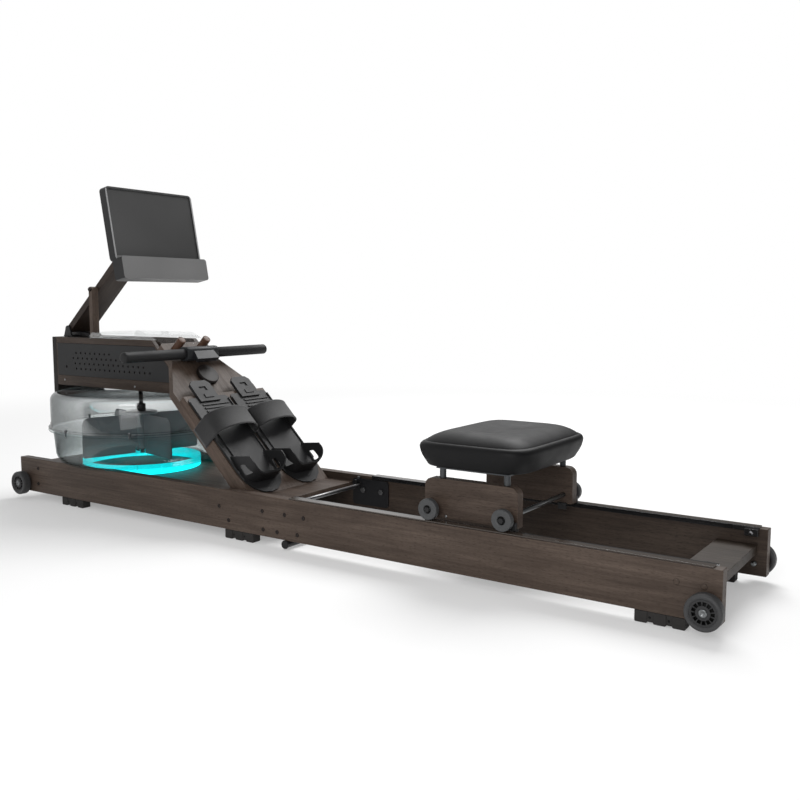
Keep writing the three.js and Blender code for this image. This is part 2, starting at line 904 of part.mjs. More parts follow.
// Clear cover: a shallow tray turned over, whose rear runs down over the top of the footboard
const coverBottom = frameTop + restGap;
const coverTop = coverBottom + coverRise;
const coverFrontX = fromFront(coverFront);
const coverKnee = new THREE.Vector2(fromFront(coverKneeSetback), coverTop);
const coverLip = new THREE.Vector2(fromFront(coverLipSetback), coverBottom - coverLipDrop);
const coverFall = coverLip.clone().sub(coverKnee).normalize();
const coverInwards = new THREE.Vector2(coverFall.y, -coverFall.x).multiplyScalar(coverWall);
const underKnee = coverKnee.clone().add(coverInwards);
const underLip = coverLip.clone().add(coverInwards);
const underEdge = underKnee
  .clone()
  .addScaledVector(coverFall, (coverBottom - underKnee.y) / coverFall.y);
const coverOutside = outline([
  [coverFrontX, coverBottom],
  [underEdge.x, coverBottom],
  [underLip.x, underLip.y],
  [coverLip.x, coverLip.y],
  [coverKnee.x, coverKnee.y],
  [coverFrontX + coverCorner, coverTop],
  [coverFrontX, coverTop - coverCorner],
]);
const coverInside = outline([
  [coverFrontX + coverWall, coverBottom - overrun],
  [underEdge.x, coverBottom - overrun],
  [underEdge.x, coverBottom],
  [underKnee.x, underKnee.y],
  [coverFrontX + coverCorner + coverWall, coverTop - coverWall],
  [coverFrontX + coverWall, coverTop - coverCorner],
]);
place(
  machine,
  "clear_cover",
  cut(
    thickY(coverOutside, -frameHalfWidth, frameHalfWidth),
    thickY(coverInside, coverWall - frameHalfWidth, frameHalfWidth - coverWall),
  ),
  clearPlastic,
);

// Footboard: a slab that narrows to a neck, with a thicker lower half, cut level on the base board
const footboardTop = upSlopeAt(frameTop - footboardTopBelowFrame, 0);
const belowBase = footboardThickness + riserThickness;
function footboardOutline() {
  const shape = new THREE.Shape();
  shape.moveTo(-footboardHalfWidth, -belowBase);
  shape.lineTo(footboardHalfWidth, -belowBase);
  shape.lineTo(footboardHalfWidth, footboardKnee);
  shape.lineTo(footboardNeckHalfWidth, footboardNeck);
  const cornerV = footboardNeckHalfWidth - footboardTopCorner;
  const cornerU = footboardTop - footboardTopCorner;
  shape.absarc(cornerV, cornerU, footboardTopCorner, 0, Math.PI / 2);
  shape.absarc(-cornerV, cornerU, footboardTopCorner, Math.PI / 2, Math.PI);
  shape.lineTo(-footboardNeckHalfWidth, footboardNeck);
  shape.lineTo(-footboardHalfWidth, footboardKnee);
  return shape;
}
const riser = block(
  [-footboardHalfWidth, footboardHalfWidth],
  [-belowBase, riserLength],
  [-footboardThickness, riserThickness],
);
const underBoard = block(
  [slopeX - footboardHalfWidth, slopeX + footboardHalfWidth],
  [-railOuterHalfWidth, railOuterHalfWidth],
  [baseBottom - belowBase, baseTop + restGap],
).applyMatrix4(slopeToLevel);
const strapSlot = block(
  [slopeXAt(strapZ, -footboardThickness) - footboardThickness, slopeXAt(strapZ, 0) + footboardThickness],
  [-strapSlotHalfWidth, strapSlotHalfWidth],
  [strapZ - strapSlotHeight / 2, strapZ + strapSlotHeight / 2],
).applyMatrix4(slopeToLevel);
const slab = thickZ(footboardOutline(), -footboardThickness, 0);
place(slope, "footboard", cut(join(slab, riser), underBoard, strapSlot), walnut);

// Handle: a bar with grips through a clamp that rests on the footboard, and the strap holder below it
const handleU = upSlopeAt(strapZ, handleStandOff);
const bar = turned(
  [
    [0, -handleHalfLength],
    [handleRadius - handleEndRadius, -handleHalfLength],
    [handleRadius, -handleHalfLength + handleEndRadius],
    [handleRadius, -clampHalfWidth - restGap],
    [handleRadius, clampHalfWidth + restGap],
    [handleRadius, handleHalfLength - handleEndRadius],
    [handleRadius - handleEndRadius, handleHalfLength],
    [0, handleHalfLength],
  ],
  middleSides,
)
  .rotateY(Math.PI / 2)
  .translate(0, handleU, handleStandOff);
place(slope, "handle_bar", bar, rubber);

const clampSleeve = turned(
  [
    [handleRadius + restGap, -clampHalfWidth],
    [clampRadius, -clampHalfWidth],
    [clampRadius, clampHalfWidth],
    [handleRadius + restGap, clampHalfWidth],
  ],
  middleSides,
)
  .rotateY(Math.PI / 2)
  .translate(0, handleU, handleStandOff);
const clampPad = block(
  [-clampPadHalfWidth, clampPadHalfWidth],
  [handleU - clampPadHeight / 2, handleU + clampPadHeight / 2],
  [restGap, handleStandOff - handleRadius - restGap],
);
const strapHolder = thickZ(
  outline([
    [-strapHolderBottomHalfWidth, handleU - strapHolderHeight],
    [strapHolderBottomHalfWidth, handleU - strapHolderHeight],
    [strapHolderTopHalfWidth, handleU],
    [-strapHolderTopHalfWidth, handleU],
  ]),
  handleStandOff,
  handleStandOff + strapHolderReach,
);
const holderBore = rod(handleRadius + restGap, clampHalfWidth * 2, middleSides)
  .rotateZ(Math.PI / 2)
  .translate(0, handleU, handleStandOff);
place(
  slope,
  "handle_clamp",
  join(clampSleeve, clampPad, cut(strapHolder, holderBore)),
  greyPlastic,
);

// Pegs over the handle and the round disc under it
for (const [side, sign] of sides) {
  const peg = turned(
    [
      [0, restGap],
      [pegRadius, restGap],
      [pegRadius, pegLength - pegChamfer],
      [pegRadius - pegChamfer, pegLength],
      [0, pegLength],
    ],
    coarseSides,
  ).translate(sign * pegHalfSpacing, handleU + pegAboveHandle, 0);
  place(slope, `handle_peg_${side}`, peg, walnut);
}
const disc = turned(
  [
    [0, restGap],
    [discRadius, restGap],
    [discRadius, discThickness - discEdge],
    [discRadius - discEdge, discThickness],
    [0, discThickness],
  ],
  middleSides,
).translate(0, handleU - discBelowHandle, 0);
place(slope, "board_disc", disc, walnut);

// Strap: on edge where it leaves the drum, and turned flat where it passes the footboard to the handle
function ribbon(sections) {
  const corners = sections.flat();
  const index = [];
  for (let i = 0; i + 1 < sections.length; i++)
    for (let k = 0; k < 4; k++) {
      const a = 4 * i + k;
      const b = 4 * i + ((k + 1) % 4);
      index.push(a, a + 4, b, b, a + 4, b + 4);
    }
  const last = 4 * (sections.length - 1);
  index.push(0, 1, 2, 0, 2, 3, last, last + 2, last + 1, last, last + 3, last + 2);
  const geometry = new THREE.BufferGeometry();
  geometry.setAttribute("position", new THREE.Float32BufferAttribute(corners.flat(), 3));
  geometry.setIndex(index);
  geometry.computeVertexNormals();
  return geometry;
}
const strapStart = new THREE.Vector3(tankX, -drumCoreRadius - restGap - strapThickness, strapZ);
const strapEnd = new THREE.Vector3(slopeXAt(strapZ + strapThickness, 0), 0, strapZ);
const strapSections = Array.from({ length: strapSteps + 1 }, (_, i) => {
  const share = i / strapSteps;
  const centre = strapStart.clone().lerp(strapEnd, share);
  const turn = (Math.PI / 2) * Math.min(1, share / strapTwistShare);
  const wide = new THREE.Vector3(0, Math.sin(turn), Math.cos(turn)).multiplyScalar(strapWidth / 2);
  const thick = new THREE.Vector3(0, Math.cos(turn), -Math.sin(turn)).multiplyScalar(strapThickness / 2);
  return [
    [1, 1],
    [-1, 1],
    [-1, -1],
    [1, -1],
  ].map(([a, b]) => {
    const corner = centre.clone().addScaledVector(wide, a).addScaledVector(thick, b);
    return [corner.x, corner.y, corner.z];
  });
});
place(machine, "pull_strap", ribbon(strapSections), webbing);

// Footplates on the riser: a rimmed plate with a round heel end, a toe tab and cross ribs
const plateFoot = riserThickness + restGap;
const plateFace = plateFoot + footplateThickness;
const plateLow = (footplateLift + restGap) / slopeSin - plateFoot;
const plateCentre = (footplateGap + footplateWidth) / 2;
function footplateBody() {
  const x0 = -footplateWidth / 2;
  const x1 = footplateWidth / 2;
  const shape = new THREE.Shape();
  shape.absarc(0, plateLow + x1, x1, Math.PI, Math.PI * 2);
  shape.absarc(x1 - footplateCorner, footplateTop - footplateCorner, footplateCorner, 0, Math.PI / 2);
  shape.absarc(x0 + footplateCorner, footplateTop - footplateCorner, footplateCorner, Math.PI / 2, Math.PI);
  const base = thickZ(shape, plateFoot, plateFace);
  const lips = [x0, x1 - footplateLipWidth].map((x) =>
    block(
      [x, x + footplateLipWidth],
      [footplateLipBottom, footplateTop - footplateCorner],
      [plateFoot, plateFace + footplateLipHeight],
    ),
  );
  const tabTop = footplateTop + toeTabLength;
  const tab = thickZ(
    outline([
      [-toeTabHalfWidth, footplateTop - toeTabFoot],
      [toeTabHalfWidth, footplateTop - toeTabFoot],
      [toeTabHalfWidth, tabTop - toeTabCut],
      [toeTabHalfWidth - toeTabCut, tabTop],
      [-toeTabHalfWidth + toeTabCut, tabTop],
      [-toeTabHalfWidth, tabTop - toeTabCut],
    ]),
    plateFoot,
    plateFoot + toeTabThickness,
  );
  const tabFace = plateFoot + toeTabThickness;
  const toeWindow = block(
    [-toeWindowHalfWidth, toeWindowHalfWidth],
    [tabTop - toeWindowTop - toeWindowLength, tabTop - toeWindowTop],
    [tabFace - toeWindowDepth, tabFace + restGap],
  );
  const toeBar = block(
    [toeBarMiddle - toeBarHalfWidth, toeBarMiddle + toeBarHalfWidth],
    [tabTop - toeBarTop - toeBarLength, tabTop - toeBarTop],
    [plateFoot, tabFace + toeBarHeight],
  );
  const ribTop = footplateTop - toeTabFoot - ribTopGap;
  const ribs = Array.from({ length: ribCount }, (_, i) =>
    block(
      [-ribLeft, ribRight],
      [ribTop - i * ribPitch - ribWidth, ribTop - i * ribPitch],
      [plateFoot, plateFace + ribHeight],
    ),
  );
  return join(cut(join(base, ...lips, tab), toeWindow), toeBar, ...ribs);
}

// Heel sliders: a waisted plate on the footplate with a heel cup that has a window in each side
const sliderFoot = plateFace + restGap;
const sliderFace = sliderFoot + sliderThickness;
const cupTopFace = sliderFace + cupHeight;
function heelSliderBody() {
  const plan = new THREE.Shape();
  plan.absarc(sliderHalfWidth - sliderCorner, sliderBottom + sliderCorner, sliderCorner, -Math.PI / 2, 0);
  plan.lineTo(sliderHalfWidth, sliderStep);
  plan.lineTo(sliderWaistHalfWidth, sliderStep);
  plan.lineTo(sliderWaistHalfWidth, sliderTop);
  plan.lineTo(-sliderWaistHalfWidth, sliderTop);
  plan.lineTo(-sliderWaistHalfWidth, sliderStep);
  plan.lineTo(-sliderHalfWidth, sliderStep);
  plan.absarc(-sliderHalfWidth + sliderCorner, sliderBottom + sliderCorner, sliderCorner, Math.PI, Math.PI * 1.5);
  const plate = thickZ(plan, sliderFoot, sliderFace);

  const wall = (inset, top) => {
    const half = sliderHalfWidth - inset;
    const radius = sliderCorner - inset;
    const shape = new THREE.Shape();
    shape.absarc(half - radius, sliderBottom + inset + radius, radius, -Math.PI / 2, 0);
    shape.lineTo(half, top);
    shape.lineTo(-half, top);
    shape.absarc(radius - half, sliderBottom + inset + radius, radius, Math.PI, Math.PI * 1.5);
    return shape;
  };
  const outside = thickZ(wall(0, cupFoot), sliderFoot, cupTopFace);
  const inside = thickZ(wall(cupWall, cupFoot + overrun), sliderFace, cupTopFace + overrun);
  const frontSlope = thickX(
    outline([
      [cupFoot, sliderFace],
      [cupFoot + overrun, sliderFace],
      [cupFoot + overrun, cupTopFace + overrun],
      [cupShoulder, cupTopFace + overrun],
      [cupShoulder, cupTopFace],
    ]),
    -sliderHalfWidth - overrun,
    sliderHalfWidth + overrun,
  );
  const heelCurve = Array.from({ length: cupHeelSteps + 1 }, (_, i) => [
    sliderBottom + sliderCorner * (1 - i / cupHeelSteps),
    cupTopFace - cupHeelDip * (i / cupHeelSteps) ** 2,
  ]);
  const heelDip = thickX(
    outline([
      ...heelCurve,
      [sliderBottom - overrun, cupTopFace - cupHeelDip],
      [sliderBottom - overrun, cupTopFace + overrun],
      [sliderBottom + sliderCorner, cupTopFace + overrun],
    ]),
    -sliderHalfWidth - overrun,
    sliderHalfWidth + overrun,
  );
  const windows = sides.map(([, sign]) =>
    thickX(
      outline(
        cupWindowShares.map(([along, up]) => [
          sliderBottom + along * (cupFoot - sliderBottom),
          sliderFace + up * cupHeight,
        ]),
      ),
      ...ordered(sign * (sliderHalfWidth - cupWall - overrun), sign * (sliderHalfWidth + overrun)),
    ),
  );
  return join(plate, cut(outside, inside, frontSlope, heelDip, ...windows));
}

// Foot straps: up one side of the footboard, over the foot and down between the two footplates
const strapArchBase = plateFace + footStrapShoulder;
const strapOuterSide = footboardHalfWidth + footStrapSideGap + footStrapThickness;
const strapInnerSide = footplateGap / 2 - footStrapSideGap - footStrapThickness;
const strapMiddle = (strapOuterSide + strapInnerSide) / 2;
const strapHalf = (strapOuterSide - strapInnerSide) / 2;
function footStrapBody(sign) {
  const shape = new THREE.Shape();
  const inner = strapHalf - footStrapThickness;
  const outerFoot = strapArchBase - footStrapDrop - footStrapShoulder;
  const middle = sign * strapMiddle;
  const outerEdge = sign * strapHalf;
  shape.moveTo(middle + outerEdge, outerFoot);
  shape.lineTo(middle + outerEdge, strapArchBase);
  const from = sign > 0 ? 0 : Math.PI;
  const to = sign > 0 ? Math.PI : 0;
  const away = sign < 0;
  shape.absellipse(middle, strapArchBase, strapHalf, footStrapArch, from, to, away);
  shape.lineTo(middle - outerEdge, plateFoot);
  shape.lineTo(middle - sign * inner, plateFoot);
  shape.lineTo(middle - sign * inner, strapArchBase);
  shape.absellipse(middle, strapArchBase, inner, footStrapArch - footStrapThickness, to, from, !away);
  shape.lineTo(middle + sign * inner, outerFoot);
  return thickY(shape, footStrapBottom, footStrapBottom + footStrapWidth);
}

for (const [side, sign] of sides) {
  const centre = sign * plateCentre;
  place(slope, `footplate_${side}`, footplateBody().translate(centre, 0, 0), blackPlastic);
  place(slope, `heel_slider_${side}`, heelSliderBody().translate(centre, 0, 0), blackPlastic);
  place(slope, `foot_strap_${side}`, footStrapBody(sign), webbing);
}

// Tablet arm: a plank on a bracket at the frame's front, propped by a strut
const bracketX = fromFront(bracketSetback);
const bracketBottom = frameTop + restGap;
const armPivotZ = bracketBottom + armPivotHeight;
const earInner = armWidth / 2 + restGap;
const bracketBase = block(
  [bracketX - bracketLength / 2, bracketX + bracketLength / 2],
  [-earInner - bracketEar, earInner + bracketEar],
  [bracketBottom, bracketBottom + bracketFoot],
);
function bracketEarOutline() {
  const shape = new THREE.Shape();
  shape.moveTo(bracketX - bracketLength / 2, bracketBottom);
  shape.lineTo(bracketX + bracketLength / 2, bracketBottom);
  shape.absarc(bracketX, armPivotZ, bracketEarRadius, 0, Math.PI);
  return shape;
}
const bracketEars = sides.map(([, sign]) =>
  thickY(bracketEarOutline(), ...ordered(sign * earInner, sign * (earInner + bracketEar))),
);
const bracketPin = rodY(pinRadius, [-earInner - bracketEar / 2, earInner + bracketEar / 2], bracketX, armPivotZ);
place(machine, "tablet_bracket", join(bracketBase, ...bracketEars, bracketPin), blackSteel);

const armTurn = THREE.MathUtils.degToRad(armAngle);
const arm = new THREE.Group();
arm.position.set(bracketX, 0, armPivotZ);
arm.rotation.y = -armTurn;
machine.add(arm);
const armShape = new THREE.Shape();
armShape.absarc(0, 0, armThickness / 2, Math.PI / 2, Math.PI * 1.5);
armShape.absarc(armLength, 0, armThickness / 2, -Math.PI / 2, Math.PI / 2);
for (const x of [0, armLength]) armShape.holes.push(holeAt(x, 0, pinRadius + turnGap));
const strutBore = rodY(
  strutPinRadius + turnGap,
  [-armWidth / 2 - overrun, strutPinLength + restGap - armWidth / 2],
  strutDistance,
  0,
);
const armPlank = thickY(armShape, -armWidth / 2, armWidth / 2);
place(arm, "tablet_arm", cut(armPlank, strutBore), walnut);

// Strut: stands upright on the deck beside the arm, and turns on a pin in the arm's edge
const strutX = bracketX + strutDistance * Math.cos(armTurn);
const strutPivotZ = armPivotZ + strutDistance * Math.sin(armTurn);
const strutSide = -armWidth / 2 - restGap;
const strutShape = new THREE.Shape();
strutShape.moveTo(strutX - strutDepth / 2, frameTop + restGap);
strutShape.lineTo(strutX + strutDepth / 2, frameTop + restGap);
strutShape.absarc(strutX, strutPivotZ, strutDepth / 2, 0, Math.PI);
const strutPost = thickY(strutShape, strutSide - strutWidth, strutSide);
const strutPin = rodY(
  strutPinRadius,
  [strutSide - strutWidth / 2, strutPinLength - armWidth / 2],
  strutX,
  strutPivotZ,
);
place(machine, "tablet_strut", join(strutPost, strutPin), walnut);

// Tablet holder: x is across, y up the panel and z out of its front, from the pivot at the arm's end
const holder = new THREE.Group();
const holderTurn = THREE.MathUtils.degToRad(holderTilt);
holder.quaternion.setFromRotationMatrix(
  new THREE.Matrix4().makeBasis(
    new THREE.Vector3(0, 1, 0),
    new THREE.Vector3(-Math.sin(holderTurn), 0, Math.cos(holderTurn)),
    new THREE.Vector3(Math.cos(holderTurn), 0, Math.sin(holderTurn)),
  ),
);
holder.position.set(
  bracketX + armLength * Math.cos(armTurn),
  0,
  armPivotZ + armLength * Math.sin(armTurn),
);
machine.add(holder);

const panelBack = holderStandOff;
const panelFront = panelBack + holderThickness;
const panelFoot = -holderBelowPivot;
const ledgeUp = panelFoot - ledgeTop;
const tabletPanel = thickZ(
  roundedOutline([-holderHalfWidth, holderHalfWidth], [panelFoot - ledgeTop * 2, panelFoot + holderHeight], holderCorner),
  panelBack,
  panelFront,
);
const panelPocket = thickZ(
  roundedOutline(
    [holderRim - holderHalfWidth, holderHalfWidth - holderRim],
    [ledgeUp - ledgeHeight / 2, panelFoot + holderHeight - holderRim],
    holderCorner - holderRim,
  ),
  panelFront - holderPocket,
  panelFront + overrun,
);
const ledge = thickZ(
  roundedOutline([-ledgeHalfWidth, ledgeHalfWidth], [ledgeUp - ledgeHeight, ledgeUp], ledgeCorner),
  panelFront - ledgeBack,
  panelFront + ledgeFront,
);
const tabletSlot = block(
  [holderRim - ledgeHalfWidth, ledgeHalfWidth - holderRim],
  [ledgeUp - tabletSlotDepth, ledgeUp + overrun],
  [panelFront - holderPocket, panelFront + tabletSlotWidth],
);
const holderEars = sides.map(([, sign]) => {
  const shape = new THREE.Shape();
  shape.moveTo(panelBack + overrun, -holderEarRadius);
  shape.lineTo(panelBack + overrun, holderEarRadius);
  shape.absarc(0, 0, holderEarRadius, Math.PI / 2, Math.PI * 1.5);
  const ear = extrude(shape, holderEar).rotateY(-Math.PI / 2);
  return ear.translate(sign > 0 ? earInner + holderEar : -earInner, 0, 0);
});
const holderPin = rod(pinRadius, (earInner + holderEar) * 2 - holderEar).rotateZ(Math.PI / 2);
place(
  holder,
  "tablet_holder",
  join(cut(join(tabletPanel, ledge), panelPocket, tabletSlot), ...holderEars, holderPin),
  greyPlastic,
);

// Seat: four rollers on two axles through the side plates, with brackets that carry the cushion
const rollerOuter = trackOuter - rollerInset;
const rollerInner = rollerOuter - rollerThickness;
const plateOuter = rollerInner - seatPlateGap;
const plateInner = plateOuter - seatPlateThickness;
const axleZ = trackTop + restGap + rollerRadius;
const axleX = [fromFront(seatFrontAxleSetback), fromFront(seatFrontAxleSetback + seatWheelbase)];
const seatEnds = [
  ["front", axleX[0]],
  ["rear", axleX[1]],
];
const roller = turned(
  [
    [axleRadius + turnGap, 0],
    [rollerRadius - rollerEdge, 0],
    [rollerRadius, rollerEdge],
    [rollerRadius, rollerThickness - rollerEdge],
    [rollerRadius - rollerEdge, rollerThickness],
    [rollerHubRadius, rollerThickness],
    [rollerHubRadius, rollerThickness - rollerHubRecess],
    [axleRadius + turnGap, rollerThickness - rollerHubRecess],
  ],
  middleSides,
);
for (const [end, x] of seatEnds) {
  for (const [side, sign] of sides) {
    const mesh = place(machine, `seat_roller_${end}_${side}`, roller, greyPlastic);
    mesh.rotation.x = (-sign * Math.PI) / 2;
    mesh.position.set(x, sign * rollerInner, axleZ);
  }
  const headFrom = rollerOuter - rollerHubRecess + restGap;
  const axle = join(
    rodY(axleRadius, [-headFrom - axleHeadThickness, headFrom + axleHeadThickness], x, axleZ),
    ...sides.map(([, sign]) =>
      rodY(axleHeadRadius, ordered(sign * headFrom, sign * (headFrom + axleHeadThickness)), x, axleZ),
    ),
  );
  place(machine, `seat_axle_${end}`, axle, steel);
}

const seatPlateBottom = trackTop + seatPlateLift;
const seatPlateTop = seatPlateBottom + seatPlateHeight;
const postX = [axleX[0] + frontPostOffset, axleX[1] - rearPostOffset];
const postFoot = seatPlateTop + restGap;
const stripBottom = postFoot + postLength;
for (const [side, sign] of sides) {
  const shape = new THREE.Shape();
  const front = axleX[0] - seatPlateFront;
  const rear = axleX[1] + seatPlateRear;
  shape.moveTo(front, seatPlateBottom);
  shape.lineTo(rear, seatPlateBottom);
  shape.absarc(rear - seatPlateCorner, seatPlateTop - seatPlateCorner, seatPlateCorner, 0, Math.PI / 2);
  shape.absarc(front + seatPlateCorner, seatPlateTop - seatPlateCorner, seatPlateCorner, Math.PI / 2, Math.PI);
  for (const x of axleX) shape.holes.push(holeAt(x, axleZ, axleRadius + turnGap));
  const span = ordered(sign * plateInner, sign * plateOuter);
  place(machine, `seat_plate_${side}`, thickY(shape, ...span), walnut);

  const strip = block(
    [postX[0] - bracketStripOverhang, postX[1] + bracketStripOverhang],
    span,
    [stripBottom, stripBottom + bracketStripThickness],
  );
  const posts = postX.map((x) =>
    rodZ(postRadius, [postFoot, stripBottom + bracketStripThickness / 2], x, (sign * (plateInner + plateOuter)) / 2),
  );
  place(machine, `seat_bracket_${side}`, join(strip, ...posts), steel);
}

// Cushion: rings of a rounded rectangle, drawn in at the foot, full at the side, dished on top
const cushionFoot = stripBottom + bracketStripThickness + restGap;
const cushionX = (axleX[0] + axleX[1]) / 2 - cushionOffset;
const cushionSides = 40;
function cushionBody() {
  const positions = [cushionX, 0, cushionFoot];
  for (const [insetShare, heightShare] of cushionRingShares) {
    const inset = (insetShare * cushionLength) / 2;
    for (let i = 0; i < cushionSides; i++) {
      const angle = (i * Math.PI * 2) / cushionSides;
      const c = Math.cos(angle);
      const s = Math.sin(angle);
      const power = 2 / cushionRounding;
      const x = Math.sign(c) * Math.abs(c) ** power * (cushionLength / 2 - inset);
      const y = Math.sign(s) * Math.abs(s) ** power * (cushionWidth / 2 - inset);
      positions.push(cushionX + x, y, cushionFoot + heightShare * cushionHeight);
    }
  }
  positions.push(cushionX, 0, cushionFoot + cushionDishShare * cushionHeight);
  const index = [];
  const rings = cushionRingShares.length;
  const at = (ring, i) => 1 + ring * cushionSides + (i % cushionSides);
  const top = 1 + rings * cushionSides;
  for (let i = 0; i < cushionSides; i++) {
    index.push(0, at(0, i + 1), at(0, i));
    for (let ring = 0; ring + 1 < rings; ring++) {
      index.push(at(ring, i), at(ring, i + 1), at(ring + 1, i));
      index.push(at(ring, i + 1), at(ring + 1, i + 1), at(ring + 1, i));
    }
    index.push(at(rings - 1, i), at(rings - 1, i + 1), top);
  }
  const geometry = new THREE.BufferGeometry();
  geometry.setAttribute("position", new THREE.Float32BufferAttribute(positions, 3));
  geometry.setIndex(index);
  geometry.computeVertexNormals();
  return geometry;
}
place(machine, "seat_cushion", cushionBody(), leather);

export default machine;
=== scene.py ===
"""Looks of a water rowing machine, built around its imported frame. Everything is in metres."""

import math

import bmesh
import bpy
from mathutils import Matrix, Vector


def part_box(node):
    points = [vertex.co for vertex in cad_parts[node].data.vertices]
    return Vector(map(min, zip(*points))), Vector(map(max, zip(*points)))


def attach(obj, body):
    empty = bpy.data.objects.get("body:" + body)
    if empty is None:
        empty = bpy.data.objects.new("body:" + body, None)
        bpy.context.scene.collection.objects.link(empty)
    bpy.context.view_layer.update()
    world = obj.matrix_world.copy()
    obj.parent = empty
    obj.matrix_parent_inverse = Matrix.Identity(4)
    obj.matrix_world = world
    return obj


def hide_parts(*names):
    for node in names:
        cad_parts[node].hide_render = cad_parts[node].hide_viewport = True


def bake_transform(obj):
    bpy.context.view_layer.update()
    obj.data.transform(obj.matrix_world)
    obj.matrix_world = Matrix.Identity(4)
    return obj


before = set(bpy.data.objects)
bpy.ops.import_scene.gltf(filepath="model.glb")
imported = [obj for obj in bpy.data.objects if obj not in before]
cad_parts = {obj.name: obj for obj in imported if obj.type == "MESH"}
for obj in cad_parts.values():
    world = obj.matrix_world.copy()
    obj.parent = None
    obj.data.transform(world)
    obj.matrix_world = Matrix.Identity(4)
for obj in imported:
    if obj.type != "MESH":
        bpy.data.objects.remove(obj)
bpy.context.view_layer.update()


# Camera: a long view from the rower's left and behind, a little above the seat. Its lens and its
# place were fitted to the picture.
def add_object(name, data):
    """A new object with its data, linked into the scene."""
    made = bpy.data.objects.new(name, data)
    bpy.context.scene.collection.objects.link(made)
    return made


picture_width_px = 800
focal_length_px = 909.447
sensor_width_mm = 36
camera_azimuth = math.radians(34.276)
camera_elevation = math.radians(6.303)
camera_place = (1.4318, -1.7695, 0.5903)

lens = bpy.data.cameras.new("camera")
lens.sensor_width = sensor_width_mm
lens.lens = sensor_width_mm * focal_length_px / picture_width_px
camera = add_object("camera", lens)
camera.location = camera_place
camera.rotation_euler = (math.pi / 2 - camera_elevation, 0, camera_azimuth)
bpy.context.scene.camera = camera
bpy.context.scene.view_settings.view_transform = "Standard"


# Studio: a pale floor that fades into a white background, one large soft lamp behind and above,
# and a weaker one on the camera's side. The background is white only for what the camera or gloss
# sees.
def linear(hex_colour):
    """A colour written as sRGB hex, in the linear values that Blender takes."""
    channels = [int(hex_colour[i : i + 2], 16) / 255 for i in (1, 3, 5)]
    return [c / 12.92 if c <= 0.04045 else ((c + 0.055) / 1.055) ** 2.4 for c in channels] + [1.0]


def node(tree, kind, inputs=(), **settings):
    """Adds a shader node with its settings. Each input is set, as a hex colour too, or linked to a
    socket or a node."""
    made = tree.nodes.new("ShaderNode" + kind)
    for key, value in settings.items():
        setattr(made, key, value)
    for socket, value in dict(inputs).items():
        if isinstance(value, str):
            value = linear(value)
        if isinstance(value, bpy.types.Node):
            value = value.outputs[0]
        if isinstance(value, bpy.types.NodeSocket):
            tree.links.new(value, made.inputs[socket])
        else:
            made.inputs[socket].default_value = value
    return made


def maths(tree, operation, *values):
    """A node that works out one operation on its values."""
    return node(tree, "Math", enumerate(values), operation=operation)


def ramp(tree, value, start, end, low=0.0, high=1.0, **settings):
    """A node that takes a value from one range to another."""
    ranges = {"From Min": start, "From Max": end, "To Min": low, "To Max": high}
    return node(tree, "MapRange", {"Value": value, **ranges}, **settings)


def blank_material(name):
    """A new material with an empty node tree, and the tree."""
    material = bpy.data.materials.new(name)
    material.use_nodes = True
    material.node_tree.nodes.clear()
    return material, material.node_tree


def background_rays(tree):
    """One for glossy rays, and one for all that show the background: those of the camera, of clear
    plastic and of gloss."""
    ray = node(tree, "LightPath").outputs
    direct = maths(tree, "MAXIMUM", ray["Is Camera Ray"], ray["Is Transmission Ray"])
    return ray["Is Glossy Ray"], maths(tree, "MAXIMUM", direct, ray["Is Glossy Ray"])


floor_half = 14.0
floor_drop = 0.0005
floor_white_share = 0.3
fade_from, fade_to = 1.7, 4.2
ambient_strength = 0.46
dark_side_strength = 0.16
dark_side_from, dark_side_to = -0.36, -0.6
smooth_step = {"interpolation_type": "SMOOTHSTEP"}

studio = bpy.data.worlds.new("studio")
studio.use_nodes = True
tree = studio.node_tree
tree.nodes.clear()
glossy, seen = background_rays(tree)
across = node(tree, "SeparateXYZ", {"Vector": node(tree, "TexCoord").outputs["Generated"]})
dark_side = (across.outputs["X"], dark_side_from, dark_side_to, dark_side_strength)
shown = node(tree, "Mix", {"Factor": glossy, "A": 1.0, "B": ramp(tree, *dark_side, **smooth_step)})
strength = node(tree, "Mix", {"Factor": seen, "A": ambient_strength, "B": shown})
sky = node(tree, "Background", {"Color": "#ffffff", "Strength": strength})
node(tree, "OutputWorld", {"Surface": sky})
bpy.context.scene.world = studio

floor_paint, tree = blank_material("matt white floor")
seen = background_rays(tree)[1]
place = node(tree, "NewGeometry").outputs["Position"]
reach = node(tree, "VectorMath", {0: place}, operation="LENGTH").outputs["Value"]
fade = ramp(tree, reach, fade_from, fade_to, floor_white_share, **smooth_step)
matt = node(tree, "BsdfDiffuse", {"Color": "#f4f4f4"})
white = node(tree, "Emission", {"Color": "#ffffff", "Strength": 1.0})
mixed = node(tree, "MixShader", {0: maths(tree, "MULTIPLY", seen, fade), 1: matt, 2: white})
node(tree, "OutputMaterial", {"Surface": mixed})

sheet = bpy.data.meshes.new("floor")
corners = [(-floor_half, -floor_half), (floor_half, -floor_half)]
corners += [(floor_half, floor_half), (-floor_half, floor_half)]
sheet.from_pydata([(x, y, -floor_drop) for x, y in corners], [], [(0, 1, 2, 3)])
sheet.materials.append(floor_paint)
floor = add_object("floor", sheet)

lamps = (("lamp_back", (-0.2, 2.4, 3.4), 2.4, 146), ("lamp_front", (1.0, -2.3, 1.1), 1.3, 24))
lamp_target = Vector((0.1, 0.0, 0.2))
for name, place, width, watts in lamps:
    light = bpy.data.lights.new(name, "AREA")
    light.size = width
    light.energy = watts
    lamp = add_object(name, light)
    lamp.location = place
    lamp.rotation_euler = (lamp_target - Vector(place)).to_track_quat("-Z", "Y").to_euler()


